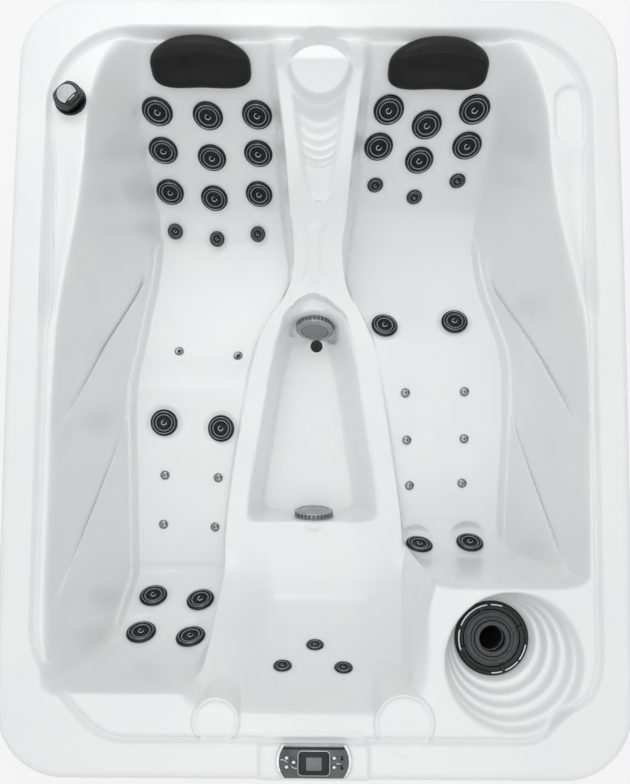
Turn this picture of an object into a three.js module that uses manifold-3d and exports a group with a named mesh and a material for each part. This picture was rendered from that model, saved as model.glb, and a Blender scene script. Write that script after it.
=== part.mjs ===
// Acrylic hot tub for three people: two loungers and one seat round a footwell, in millimetres, +Z up.
// The origin is the middle of the base, +Y runs to the pillow end and +X to the filter side.
import * as THREE from "three";
import { mergeVertices } from "three/addons/utils/BufferGeometryUtils.js";
import Module from "manifold-3d";

const wasm = await Module();
wasm.setup();

// Driving dimensions
const tub = { long: 2160, width: 1690, height: 800, corner: 190, swell: 10 };
const basin = { seatHigh: 235, wellHigh: 108, wall: 14, minBack: 42, lean: 78, steepest: 5 };
const lip = { drop: 62, bottom: 65, edge: 8, edgeDrop: 20, round: 34, thick: 26, seat: 30, groove: 11, grooveWide: 14 };
const gap = { fit: 0.3, facet: 1, rim: 1, bore: 1.5, press: 1, play: 2, clear: 5, cut: 40, smooth: 0.35, merge: 0.0001 };
const cabinet = { inset: 36, wall: 12, baseHigh: 14, post: 62, postIn: 80, rail: 40, railWide: 12, doorShare: 0.9 };
const largeJet = { flange: 47.5, edge: 3, rim: 10, dish: 3, barrel: 25, deep: 60, seat: 2 };
const smallJet = { flange: 27.5, edge: 2, rim: 7, dish: 2.5, barrel: 14, deep: 48, seat: 1.5 };
const injector = { flange: 19, high: 9, barrel: 9, deep: 52, seat: 1, sides: 6 };
const hose = { water: 17, air: 8, clear: 16 };
const grid = { rounds: 6, pull: 0.3, wellLeast: 60, evenWide: 90 };
const suction = { flange: 70, rim: 30, dome: 8, barrel: 28, deep: 52, seat: 2, probe: 20 };
const drain = { flange: 23, rim: 5, dome: 2, barrel: 10, deep: 32, seat: 1 };
const skimmer = { ringOuter: 107, ringInner: 82, ringHigh: 12, wall: 4, bucket: 90, deep: 250, core: 36,
  cartridge: 66, cartridgeHigh: 232, slots: 4, slotOuter: 74, slotInner: 60, slotGap: 0.2 };
const knob = { radius: 40, flat: 33.5, bulgeShare: 0.75, high: 24, steps: 24, collar: 44, collarHigh: 6, stem: 20,
  below: 60, housing: 34, stemDeep: 150 };
const panel = { fromEnd: 71, long: 196, wide: 86, high: 9, corner: 22, boxLong: 150, boxWide: 60, boxDeep: 30, boxPlay: 4,
  well: 5, button: 4.4, travel: 1.3, proud: 1.2 };
const buttonShares = [[-0.714, 0.209], [-0.714, -0.326], [-0.531, -0.047], [0.531, 0.209], [0.531, -0.326],
  [0.735, 0.209], [0.735, -0.326]];
const pillow = { long: 288, tall: 150, thick: 44, bow: 14, columns: 10, rows: 5, pinchShare: 0.08, edgeShare: 0.3,
  probe: 60 };
const plinthShares = { left: -0.1775, right: 0.0947, near: -0.2778, far: 0.1667 };
const pump = { left: 160, fromEnd: 440, axis: 100, motor: 76, wetEnd: 92, long: 230, wetLong: 90, foot: 30, lap: 20 };
const heater = { left: 150, fromEnd: 120, radius: 32, long: 330 };
const controlBox = { left: 180, fromEnd: 175, long: 360, deep: 110, high: 260 };
const blower = { fromSide: 245, fromEnd: 200, radius: 80, high: 170, neck: 30 };
const sides = { landing: 8, hole: 6, jet: 10, ring: 14, pipe: 5, corner: 4, slot: 3 };
const shares = { capTop: 0.82, domeTop: 0.75 };
const cutDeep = 150;
const flat = { core: 12, fade: 60, probe: 34 };

const halfLong = tub.long / 2;
const halfWide = tub.width / 2;
const seatDepth = tub.height - basin.seatHigh;
const wellDepth = tub.height - basin.wellHigh;

// Plan curves: place along the tub and across it, as shares of the half length and half width
const leftEdgeShares = [[0.907, -0.663], [0.833, -0.722], [0.741, -0.757], [0.556, -0.775], [0.417, -0.791],
  [0.278, -0.819], [0.139, -0.843], [0, -0.852], [-0.278, -0.854], [-0.861, -0.854]];
const rightEdgeShares = [[0.907, 0.663], [0.833, 0.716], [0.741, 0.753], [0.556, 0.772], [0.417, 0.793],
  [0.278, 0.834], [0.139, 0.87], [0, 0.882], [-0.278, 0.878], [-0.861, 0.87]];
const leftInnerShares = [[0.907, -0.116], [0.806, -0.109], [0.685, -0.092], [0.556, -0.071], [0.463, -0.053],
  [0.37, -0.071], [0.306, -0.118], [0.231, -0.172], [0.139, -0.204], [0, -0.234], [-0.148, -0.266],
  [-0.278, -0.291], [-0.417, -0.31], [-0.556, -0.332], [-0.694, -0.342], [-0.861, -0.36]];
const rightInnerShares = [[0.907, 0.123], [0.806, 0.116], [0.685, 0.099], [0.556, 0.076], [0.463, 0.059],
  [0.37, 0.076], [0.306, 0.114], [0.231, 0.156], [0.139, 0.185], [0, 0.218], [-0.148, 0.249], [-0.278, 0.275],
  [-0.37, 0.291], [-0.463, 0.31], [-0.519, 0.355]];
const wellHalfShares = [[0.356, 0], [0.344, 0.045], [0.309, 0.104], [0.242, 0.147], [0.142, 0.182],
  [0.01, 0.211], [-0.154, 0.241], [-0.284, 0.267], [-0.389, 0.279]];
// Floor profiles: place along the tub as a share of the half length, depth as a share of the seat depth
const crestShares = [[0.903, 0.014], [0.833, 0.124], [0.806, 0.159], [0.741, 0.23], [0.648, 0.345],
  [0.602, 0.425], [0.556, 0.513], [0.463, 0.664], [0.37, 0.779], [0.278, 0.846], [0.185, 0.864], [-0.278, 0.864],
  [-0.389, 0.867], [-0.481, 0.857], [-0.556, 0.779], [-0.611, 0.655], [-0.667, 0.496], [-0.722, 0.336],
  [-0.778, 0.186], [-0.824, 0.071], [-0.861, 0]];
const leftFloorShares = [[0.906, 0], [0.88, 0.08], [0.833, 0.239], [0.801, 0.381], [0.745, 0.611],
  [0.687, 0.818], [0.648, 0.917], [0.602, 0.97], [0.519, 1], [0.426, 0.995], [0.278, 0.97], [0.176, 0.947],
  [0.102, 0.906], [0.046, 0.878], [-0.061, 0.896], [-0.237, 0.947], [-0.398, 0.984], [-0.519, 1.016],
  [-0.555, 1.023], [-0.579, 0.991], [-0.616, 0.906], [-0.667, 0.782], [-0.718, 0.658], [-0.741, 0.584],
  [-0.761, 0.46], [-0.776, 0.283], [-0.783, 0.106], [-0.789, 0.018], [-0.794, 0]];
const rightFloorShares = [[0.906, 0], [0.88, 0.08], [0.833, 0.239], [0.801, 0.363], [0.745, 0.575],
  [0.696, 0.752], [0.659, 0.867], [0.611, 0.947], [0.556, 0.986], [0.481, 0.995], [0.37, 0.97], [0.278, 0.917],
  [0.185, 0.864], [0.139, 0.853], [0.093, 0.867], [0.041, 0.89], [-0.116, 0.938], [-0.264, 0.973],
  [-0.361, 1.002], [-0.407, 1.005], [-0.428, 0.995], [-0.463, 0.912], [-0.483, 0.832], [-0.498, 0.673],
  [-0.507, 0.442], [-0.515, 0.23], [-0.524, 0.088], [-0.535, 0.014], [-0.542, 0]];
const nearFloorShares = [[-0.3, 0.8], [-0.37, 0.86], [-0.444, 0.885], [-0.519, 0.899], [-0.593, 0.89],
  [-0.639, 0.85], [-0.676, 0.758], [-0.713, 0.611], [-0.75, 0.442], [-0.787, 0.265], [-0.815, 0.124],
  [-0.838, 0.021], [-0.847, 0]];

// Grid rows along the tub, as shares of the half length
const rowShares = [-0.93, -0.9, -0.875, -0.85, -0.825, -0.795, -0.77, -0.74, -0.71, -0.675, -0.64, -0.605, -0.575,
  -0.545, -0.52, -0.5, -0.475, -0.44, -0.395, -0.367, -0.342, -0.28, -0.17, -0.05, 0.07, 0.14, 0.2, 0.256, 0.284,
  0.31, 0.36, 0.46, 0.56, 0.62, 0.66, 0.7, 0.735, 0.77, 0.805, 0.84, 0.87, 0.9, 0.93];

// Grid lines between the edges and feet of the walls, as shares of the way
const columnShares = { rim: [0.5], seat: [0.25, 0.5, 0.75], well: [0, 0.25, 0.7, 1] };

// Smaller forms: places along the tub and across it as shares of the half length and half width, then their sizes
const alongShares = { bandNear: 0.9056, bandFar: 0.9046, cutNear: 0.7185, bite: -1.0046, far: 0.9056, near: 0.8565,
  shelfNear: 0.5185, footNear: 0.8056, footFrom: 0.4167, seatFar: 0.3148, backFrom: 0.3241, wellNear: 0.3907,
  wellFar: 0.3593, pool: 0.7981, bowl: -0.7083, island: 0.8685, boss: 0.7028, pocketNear: 0.5926, pocketFar: 0.7667,
  foldFirst: -0.1287, foldSecond: -0.5667, foldFar: 0.5926, evenFrom: 0.8519 };
const acrossShares = { bandLeft: 0.8935, bandRight: 0.903, cutLeft: 0.8781, bite: 0.9467, shelfFrom: 0.2781,
  footFrom: 0.355, seatLeft: 0.3101, seatRight: 0.3456, well: -0.0095, pool: 0.0036, bowl: 0.6249, boss: -0.8118,
  pocketLeft: 0.774, pocketRight: 0.897 };
const platformShares = [[-0.3053, -0.8509], [0.2793, -0.8546]];
const scaled = (table, size) => Object.fromEntries(Object.entries(table).map(([name, share]) => [name, share * size]));
const along = scaled(alongShares, halfLong);
const across = scaled(acrossShares, halfWide);

const band = { round: 235, cutShares: [0.768, 0.64], soft: 60 };
const bite = { radius: 226, soft: 20 };
const bounds = { shelfWide: 95, soft: 150, footWide: 80, footRise: 75 };
const seatBowl = { blend: 110, wide: 104, soft: 70 };
const lounger = { hollow: 26, edge: 8, innerLean: 66, innerLess: 4, footLess: 20, footWide: 150, backWide: 200,
  soft: 90, endSteep: 1.5 };
const well = { soft: 60, blend: 14, wide: 86, leftSteep: 2, nearSteep: 1.7, farSteep: 1.3, archSteep: 0.35,
  archWide: 46, rimShare: 0.86 };
const pool = { radius: 118, deep: 60, wide: 24, soft: 8, lensNear: 7, lensNearRadius: 110, lensFar: 67,
  lensFarRadius: 101, lensHigh: 26, lensWide: 14 };
const chute = { past: 6, long: 240, plain: 62, top: 86, deep: 26, wide: 26, ribs: 5, pitch: 24, bow: 460 };
const bowl = { radius: 192, lip: 40, lipWide: 22, ringLeft: 19, ringFar: 32, ringRadius: 120, terraces: 4, drop: 30,
  dropWide: 16 };
const platform = { radii: [62, 78], dip: 9, rise: 4, rim: 6, rimWide: 8, steep: 6, soft: 12 };
const island = { half: 150, round: 46, high: 12, wide: 16 };
const boss = { radius: 50, high: 10, wide: 10 };
const pocket = { round: 51, deep: 12, wide: 14, fade: 60 };
const folds = { rise: 1.3, firstWide: 170, firstHigh: 20, secondWide: 190, secondHigh: 18, sharpShare: 0.22, top: 60,
  baseShare: 0.92, baseWide: 120, farWide: 200 };
const platforms = platformShares.map(([x, y], i) => ({ x: x * halfWide, y: y * halfLong, radius: platform.radii[i] }));
const ring = { x: across.bowl - bowl.ringLeft, y: along.bowl + bowl.ringFar,
  z: tub.height - bowl.lip - bowl.terraces * bowl.drop };
const knobSeat = tub.height - lip.groove + boss.high;

const ease = (v) => { const t = Math.min(1, Math.max(0, v)); return t * t * (3 - 2 * t); };
const softMax = (a, b, k) => {
  const h = Math.min(1, Math.max(0, 0.5 + (0.5 * (a - b)) / k));
  return b + (a - b) * h + k * h * (1 - h);
};
const softMin = (a, b, k) => -softMax(-a, -b, k);
// The deeper of two depths, rounded where they cross and left alone where both are level with the rim
const deeper = (a, b, k) => (a + b > 0 ? softMax(a, b, Math.min(k, a + b)) : Math.max(a, b));

// A smooth curve through (place, value) shares, scaled to the tub
function curve(shares, placeScale, valueScale) {
  const points = shares.map(([p, v]) => [p * placeScale, v * valueScale]).sort((a, b) => a[0] - b[0]);
  const steps = points.slice(1).map((p, i) => p[0] - points[i][0]);
  const rates = points.slice(1).map((p, i) => (p[1] - points[i][1]) / steps[i]);
  const slopes = points.map((p, i) => {
    if (i === 0) return rates[0];
    if (i === points.length - 1) return rates[i - 1];
    return (rates[i - 1] * steps[i] + rates[i] * steps[i - 1]) / (steps[i - 1] + steps[i]);
  });
  return (value) => {
    const v = Math.min(points.at(-1)[0], Math.max(points[0][0], value));
    let i = 0;
    while (i < steps.length - 1 && v > points[i + 1][0]) i += 1;
    const t = (v - points[i][0]) / steps[i];
    const [a, b] = [points[i][1], points[i + 1][1]];
    return a * (1 + 2 * t) * (1 - t) ** 2 + b * t * t * (3 - 2 * t)
      + steps[i] * (slopes[i] * t * (1 - t) ** 2 + slopes[i + 1] * t * t * (t - 1));
  };
}
const leftEdge = curve(leftEdgeShares, halfLong, halfWide);
const rightEdge = curve(rightEdgeShares, halfLong, halfWide);
const leftInner = curve(leftInnerShares, halfLong, halfWide);
const rightInner = curve(rightInnerShares, halfLong, halfWide);
const wellHalf = curve(wellHalfShares, halfLong, halfWide);
const crest = curve(crestShares, halfLong, seatDepth);
const leftFloor = curve(leftFloorShares, halfLong, seatDepth);
const rightFloor = curve(rightFloorShares, halfLong, seatDepth);
const nearFloor = curve(nearFloorShares, halfLong, seatDepth);

// Distance inside a round-cornered rectangle and inside a circle
function inBox(x, y, x0, x1, y0, y1, r) {
  const qx = Math.abs(x - (x0 + x1) / 2) - (x1 - x0) / 2 + r;
  const qy = Math.abs(y - (y0 + y1) / 2) - (y1 - y0) / 2 + r;
  return r - Math.hypot(Math.max(qx, 0), Math.max(qy, 0)) - Math.min(Math.max(qx, qy), 0);
}
const inCircle = (x, y, cx, cy, r) => r - Math.hypot(x - cx, y - cy);

// Folds that sweep up the side walls towards the near end: a shift of the wall, by place and depth
function foldShift(y, depth) {
  const one = (q, wide) => Math.exp(-((q / (q > 0 ? wide : wide * folds.sharpShare)) ** 2));
  const fade = ease(depth / folds.top) * ease((folds.baseShare * seatDepth - depth) / folds.baseWide)
    * ease((along.foldFar - y) / folds.farWide);
  return fade * (folds.firstHigh * one(y - folds.rise * depth - along.foldFirst, folds.firstWide)
    + folds.secondHigh * one(y - folds.rise * depth - along.foldSecond, folds.secondWide));
}

// Depth of a lounger: its floor profile with a hollow across it, between a side wall and an inner edge
function loungerDepth(y, wallGap, innerGap, endGap, floor, innerLean) {
  const backShare = ease((y - along.backFrom) / lounger.backWide);
  const inner = innerGap * (basin.lean / (innerLean - lounger.innerLess * backShare));
  const edge = softMin(softMin(wallGap, inner, lounger.soft), endGap, lounger.soft);
  const side = (innerGap - wallGap) / (innerGap + wallGap);
  const deep = floor + (lounger.hollow * (1 - side * side) - lounger.edge) * ease((floor - lip.drop) / lounger.backWide);
  const first = deep * ease(edge / basin.lean);
  return deep * ease((edge + foldShift(y, first)) / basin.lean);
}

// Depth of the moulded shell below the rim, at any place in plan
function tubDepth(x, y) {
  let step = inBox(x, y, -across.bandLeft, across.bandRight, -along.bandNear, along.bandFar, band.round);
  const [cutX, cutY] = band.cutShares;
  step = softMin(step, (x + across.cutLeft) * cutX + (y + along.cutNear) * cutY, band.soft);
  step = softMin(step, -inCircle(x, y, across.bite, along.bite, bite.radius), bite.soft);
  const rim = lip.groove * ease(step / lip.grooveWide);

  const [wallLeft, wallRight] = [leftEdge(y), rightEdge(y)];
  const nearEnd = -along.near + (along.near - along.shelfNear) * ease((x - across.shelfFrom) / bounds.shelfWide)
    + bounds.footRise * ease((-x - across.footFrom) / bounds.footWide);
  const inSides = Math.min(x - wallLeft, wallRight - x);
  const inEnds = Math.min(along.far - y, y - nearEnd);
  let depth = crest(y) * ease(softMin(inSides, inEnds, bounds.soft) / basin.lean);

  const footLean = lounger.innerLean - lounger.footLess * ease((-along.footFrom - y) / lounger.footWide);
  const left = loungerDepth(y, x - wallLeft, leftInner(y) - x, y + along.footNear + lounger.soft / 2, leftFloor(y), footLean);
  const right = loungerDepth(y, wallRight - x, x - rightInner(y), (y + along.shelfNear + lounger.soft / 2) * lounger.endSteep,
    rightFloor(y), lounger.innerLean);
  const inSeat = softMin(x + across.seatLeft, across.seatRight - x, seatBowl.soft);
  const seat = nearFloor(y) * ease(inSeat / seatBowl.wide) * ease((-along.seatFar - y) / seatBowl.blend);
  depth = deeper(depth, left, lounger.hollow);
  depth = deeper(depth, right, lounger.hollow);
  depth = deeper(depth, seat, lounger.hollow);

  const half = wellHalf(y);
  const wellSides = softMin((x - across.well + half) * well.leftSteep, across.well + half - x, well.soft / 2);
  const fromFar = along.wellFar - y;
  const wellFarEnd = softMax(fromFar * well.archSteep, (fromFar - well.archWide) * well.farSteep, well.blend);
  const wellEnds = softMin((y + along.wellNear) * well.nearSteep, wellFarEnd, well.soft / 2);
  const inWell = softMin(wellSides, wellEnds, well.soft);
  if (inWell > 0) {
    const wellRim = seatDepth * well.rimShare;
    depth = softMax(depth, wellRim + (wellDepth - wellRim) * ease(inWell / well.wide), well.blend);
  }

  depth = deeper(depth, pool.deep * ease(inCircle(x, y, across.pool, along.pool, pool.radius) / pool.wide), pool.soft);
  const lens = Math.min(inCircle(x, y, across.pool, along.pool - pool.lensNear, pool.lensNearRadius),
    inCircle(x, y, across.pool, along.pool + pool.lensFar, pool.lensFarRadius));
  depth -= pool.lensHigh * ease(lens / pool.lensWide);
  const chuteFar = along.pool + chute.past;
  const fromNear = y - chuteFar + chute.long;
  const down = Math.min(1, Math.max(0, fromNear / chute.long));
  const channel = Math.min(chute.top * Math.sqrt(down) - Math.abs(x - across.pool), chuteFar - y);
  const wave = Math.sin(((y - (x * x) / chute.bow) * 2 * Math.PI) / chute.pitch);
  depth += (chute.deep - chute.ribs * wave * ease((fromNear - chute.plain) / chute.pitch)) * ease(channel / chute.wide);

  let terrace = bowl.lip * ease(inCircle(x, y, across.bowl, along.bowl, bowl.radius) / bowl.lipWide);
  for (let k = 1; k <= bowl.terraces; k += 1) {
    const share = k / bowl.terraces;
    const cx = across.bowl + (ring.x - across.bowl) * share;
    const cy = along.bowl + (ring.y - along.bowl) * share;
    const radius = bowl.radius + (bowl.ringRadius - bowl.radius) * share;
    terrace += bowl.drop * ease(inCircle(x, y, cx, cy, radius) / bowl.dropWide);
  }
  depth = Math.max(depth, terrace);
  depth = deeper(depth, rim, bowl.dropWide);

  for (const p of platforms) {
    const away = Math.hypot(x - p.x, y - p.y);
    const top = platform.dip * ease((p.radius - platform.rim - away) / platform.rimWide) + platform.rise;
    depth = softMin(depth, top + Math.max(away - p.radius, 0) * platform.steep, platform.soft);
  }
  depth -= island.high * ease(inBox(x, y, -island.half, island.half, -tub.long, -along.island, island.round) / island.wide);
  depth -= boss.high * ease(inCircle(x, y, across.boss, along.boss, boss.radius) / boss.wide);
  depth += pocket.deep * ease((y - along.pocketNear) / pocket.fade) * ease(inBox(x, y, across.pocketLeft,
    across.pocketRight, along.pocketNear, along.pocketFar, pocket.round) / pocket.wide);
  return depth;
}

// Places of the fittings in plan, as shares of the half width and half length
const jetRows = [
  { name: "left_back_jet", kind: largeJet, shares: [[-0.5967, 0.805], [-0.4126, 0.8017], [-0.2285, 0.8014],
    [-0.6092, 0.7548], [-0.4229, 0.747], [-0.2368, 0.7513], [-0.6187, 0.6887], [-0.4381, 0.6798], [-0.2472, 0.6864]] },
  { name: "right_back_jet", kind: largeJet, shares: [[0.2584, 0.8069], [0.5732, 0.8082], [0.4076, 0.7898],
    [0.2345, 0.7574], [0.5763, 0.7608], [0.401, 0.7404]] },
  { name: "right_thigh_jet", kind: largeJet, shares: [[0.2871, 0.2668], [0.5879, 0.2847]] },
  { name: "left_calf_jet", kind: largeJet, shares: [[-0.64, -0.0644], [-0.4001, -0.0825]] },
  { name: "right_foot_jet", kind: largeJet, shares: [[0.4339, -0.4559], [0.65, -0.45]] },
  { name: "left_foot_jet", kind: largeJet, shares: [[-0.6662, -0.6254], [-0.469, -0.6346], [-0.6703, -0.716],
    [-0.4748, -0.7239]] },
];
const smallRows = [
  { name: "left_lumbar_jets", kind: smallJet, shares: [[-0.6205, 0.5962], [-0.4409, 0.5773], [-0.2618, 0.591]] },
  { name: "right_lumbar_jets", kind: smallJet, shares: [[0.2357, 0.6981], [0.4044, 0.6798], [0.5705, 0.7073]] },
  { name: "seat_back_jets", kind: smallJet, shares: [[-0.1119, -0.7668], [0.001, -0.7307], [0.1006, -0.769]] },
];
const injectorRows = [
  { name: "left_air_injectors", kind: injector, shares: [[-0.5906, 0.1806], [-0.3357, 0.1639], [-0.413, -0.2437],
    [-0.64, -0.2361], [-0.6482, -0.3994], [-0.427, -0.4069]], detourShares: [2, [-0.52, -0.075]] },
  { name: "right_air_injectors", kind: injector, shares: [[0.3733, 0.0386], [0.623, 0.0447], [0.6279, -0.1085],
    [0.3835, -0.1148], [0.3981, -0.2648], [0.6234, -0.2554]] },
];
const fixedRows = [
  { name: "far_suction_cover", kind: suction, shares: [[-0.0083, 0.2841]] },
  { name: "near_suction_cover", kind: suction, shares: [[-0.0081, -0.3677]] },
  { name: "floor_drain", kind: drain, shares: [[-0.0016, 0.2332]] },
];
const pillowSpots = [["left_pillow", -0.408, 0.868], ["right_pillow", 0.413, 0.868]];
// Stops of the water hoses: a row and the jets of it in order, a side of the pump and shares of that side, or a
// place as shares of the half width, the half length and the height under the seats
const waterLines = [
  { name: "left_water_line", steps: 42, stopShares: [["left_back_jet", [3, 2, 1, 4, 5, 6, 9, 8, 7]],
    [-0.817, 0.722, 1.021], [-0.828, 0.463, 0.468], [-0.817, 0.093, 0.511], ["left_calf_jet", [1, 2]],
    [-0.355, -0.231, 0.426], [-0.331, -0.435, 0.468], ["pump_side", [0.3125, 0.9375]]] },
  { name: "right_water_line", steps: 37, stopShares: [["right_back_jet", [1, 3, 2, 5, 6, 4]], [0.178, 0.611, 0.638],
    ["right_thigh_jet", [1, 2]], [0.71, -0.111, 0.468], [0.757, -0.389, 0.468], ["right_foot_jet", [2, 1]],
    ["pump_inlet", [0.33, -0.11, -0.65]]] },
];

// A closed solid from positions and triangles
function solid(vertices, triangles) {
  return new wasm.Manifold(new wasm.Mesh({
    numProp: 3, vertProperties: new Float32Array(vertices), triVerts: new Uint32Array(triangles),
  }));
}
function fromGeometry(geometry, matrix = new THREE.Matrix4()) {
  const bare = geometry.clone().applyMatrix4(matrix);
  bare.deleteAttribute("normal");
  bare.deleteAttribute("uv");
  const merged = mergeVertices(bare, gap.merge);
  return solid(merged.attributes.position.array, merged.index.array);
}
function toGeometry(manifold) {
  const mesh = manifold.getMesh();
  const geometry = new THREE.BufferGeometry();
  geometry.setAttribute("position", new THREE.Float32BufferAttribute(mesh.vertProperties, 3));
  geometry.setIndex(Array.from(mesh.triVerts));
  geometry.computeVertexNormals();
  return geometry;
}

// The shell's rings at a given distance inside its outline
function outlineRadius(angle, inset) {
  const [hx, hy, r] = [halfWide - inset, halfLong - inset, tub.corner - inset];
  const [c, s] = [Math.abs(Math.cos(angle)), Math.abs(Math.sin(angle))];
  const [ax, ay] = [hx - r, hy - r];
  const along = c * ax + s * ay;
  const round = along + Math.sqrt(Math.max(along * along - (ax * ax + ay * ay - r * r), 0));
  const sharp = Math.min(hx / c, hy / s);
  return round * c > ax && round * s > ay ? round : sharp;
}
function outlinePoint(angle, inset) {
  const reach = outlineRadius(angle, inset);
  const y = reach * Math.sin(angle);
  const bow = 1 + (tub.swell / halfWide) * (1 - (y / halfLong) ** 2);
  return [reach * Math.cos(angle) * bow, y];
}

// Flat landings under the fittings, so that their flanges sit on the shell
const up = new THREE.Vector3(0, 0, 1);
function landing(x, y, p = flat.probe) {
  const slopeX = (tubDepth(x + p, y) - tubDepth(x - p, y)) / (2 * p);
  const slopeY = (tubDepth(x, y + p) - tubDepth(x, y - p)) / (2 * p);
  const deep = (tubDepth(x, y) * 2 + tubDepth(x + p, y) + tubDepth(x - p, y) + tubDepth(x, y + p) + tubDepth(x, y - p)) / 6;
  const normal = new THREE.Vector3(slopeX, slopeY, 1).normalize();
  return { x, y, deep, slopeX, slopeY, normal, place: new THREE.Vector3(x, y, tub.height - deep) };
}
const sidesOf = (kind) => kind.sides ?? sides.landing;
const landingRadius = (kind) => (kind.flange + gap.rim) / Math.cos(Math.PI / sidesOf(kind));
const openRadius = (kind) => (kind.barrel + gap.bore) / Math.cos(Math.PI / sidesOf(kind));
const spots = {};
for (const row of jetRows.concat(smallRows, injectorRows, fixedRows)) {
  spots[row.name] = row.shares.map(([x, y]) => (
    { kind: row.kind, ...landing(x * halfWide, y * halfLong, row.kind.probe) }));
}
const flats = Object.values(spots).flat();


function shellDepth(x, y) {
  let depth = tubDepth(x, y);
  for (const spot of flats) {
    const plane = Math.min(spot.deep + spot.slopeX * (x - spot.x) + spot.slopeY * (y - spot.y), wellDepth);
    const away = Math.hypot(x - spot.x, y - spot.y, depth - spot.deep) - landingRadius(spot.kind);
    depth += (plane - depth) * (1 - ease((away - flat.core) / flat.fade));
  }
  return depth;
}

// A point of a pillow's back, at shares u and v across and up it
function pillowBack(u, v) {
  const narrow = 1 - pillow.pinchShare * v ** 4;
  return [(pillow.long / 2) * u * narrow,
    (pillow.tall / 2) * v * (1 - pillow.pinchShare * u ** 4) + pillow.bow * (1 - u * u)];
}

// A pillow's seat: the plane along the slope, lifted just clear of the shell behind the whole back
function pillowSeat(x, y) {
  const spot = landing(x, y);
  const p = pillow.probe;
  const slopeY = (tubDepth(x, y + p) - tubDepth(x, y - p)) / (2 * p);
  const normal = new THREE.Vector3(0, slopeY, 1).normalize();
  const turn = new THREE.Quaternion().setFromUnitVectors(up, normal);
  let lift = 0;
  for (let j = 0; j <= pillow.rows; j += 1) {
    for (let i = 0; i <= pillow.columns; i += 1) {
      const back = new THREE.Vector3(...pillowBack((2 * i) / pillow.columns - 1, (2 * j) / pillow.rows - 1), 0);
      const at = back.applyQuaternion(turn).add(spot.place);
      lift = Math.max(lift, (tub.height - tubDepth(at.x, at.y) - at.z) * normal.z);
    }
  }
  return { ...spot, normal, lift: lift + gap.facet + gap.fit };
}

// Grid lines that follow the edges and feet of the walls, eased towards even spacing over the surface
function columns(y) {
  const half = Math.max(wellHalf(y), grid.wellLeast);
  const [xl, xr, il, ir] = [leftEdge(y), rightEdge(y), leftInner(y), rightInner(y)];
  const foot = basin.lean;
  const between = (a, b, shares) => shares.map((t) => a + (b - a) * t);
  const wellLeft = Math.max(across.well - half, il + gap.cut / 2);
  const wellRight = Math.min(across.well + half, ir - gap.cut / 2);
  const edge = halfWide - lip.round;
  const lines = [-edge, ...between(-edge, xl, columnShares.rim), xl, xl + foot / 2, xl + foot,
    ...between(xl + foot, il - foot, columnShares.seat), il - foot, il - foot / 2, il,
    ...between(wellLeft, wellRight, columnShares.well), ir, ir + foot / 2, ir + foot,
    ...between(ir + foot, xr - foot, columnShares.seat), xr - foot, xr - foot / 2, xr,
    ...between(xr, edge, columnShares.rim), edge];
  const even = ease((Math.abs(y) - along.evenFrom) / grid.evenWide);
  return lines.map((x, i) => x + ((2 * i) / (lines.length - 1) - 1) * edge * even - x * even);
}

function gridPlan() {
  const plan = [];
  const angles = [];
  const [edgeX, edgeY] = [halfWide - lip.round, halfLong - lip.round];
  const rows = [-edgeY, ...rowShares.map((t) => t * halfLong), edgeY];
  rows.forEach((rowY) => columns(rowY).forEach((columnX) => {
    const [u, v] = [columnX / edgeX, rowY / edgeY];
    const level = Math.max(Math.abs(u), Math.abs(v));
    const angle = Math.atan2(v * halfLong, u * halfWide);
    const [ex, ey] = outlinePoint(angle, lip.round);
    const share = level ** 6;
    plan.push([columnX * (1 - share) + ex * level * share, rowY * (1 - share) + ey * level * share]);
    angles.push(angle);
  }));
  const nx = plan.length / rows.length - 1;
  const ny = rows.length - 1;
  const at = (i, j) => j * (nx + 1) + i;
  for (let round = 0; round < grid.rounds; round += 1) {
    const deep = plan.map(([x, y]) => tubDepth(x, y));
    const next = plan.map((p) => [...p]);
    for (let j = 1; j < ny; j += 1) {
      for (let i = 1; i < nx; i += 1) {
        const here = at(i, j);
        let [sum, x, y] = [0, 0, 0];
        for (const other of [at(i - 1, j), at(i + 1, j), at(i, j - 1), at(i, j + 1)]) {
          const away = [plan[other][0] - plan[here][0], plan[other][1] - plan[here][1], deep[other] - deep[here]];
          const length = Math.hypot(...away);
          sum += length;
          x += length * plan[other][0];
          y += length * plan[other][1];
        }
        next[here][0] += grid.pull * (x / sum - plan[here][0]);
        next[here][1] += grid.pull * (y / sum - plan[here][1]);
      }
    }
    next.forEach((p, k) => { plan[k] = p; });
  }
  return { plan, angles, nx, ny };
}

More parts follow.
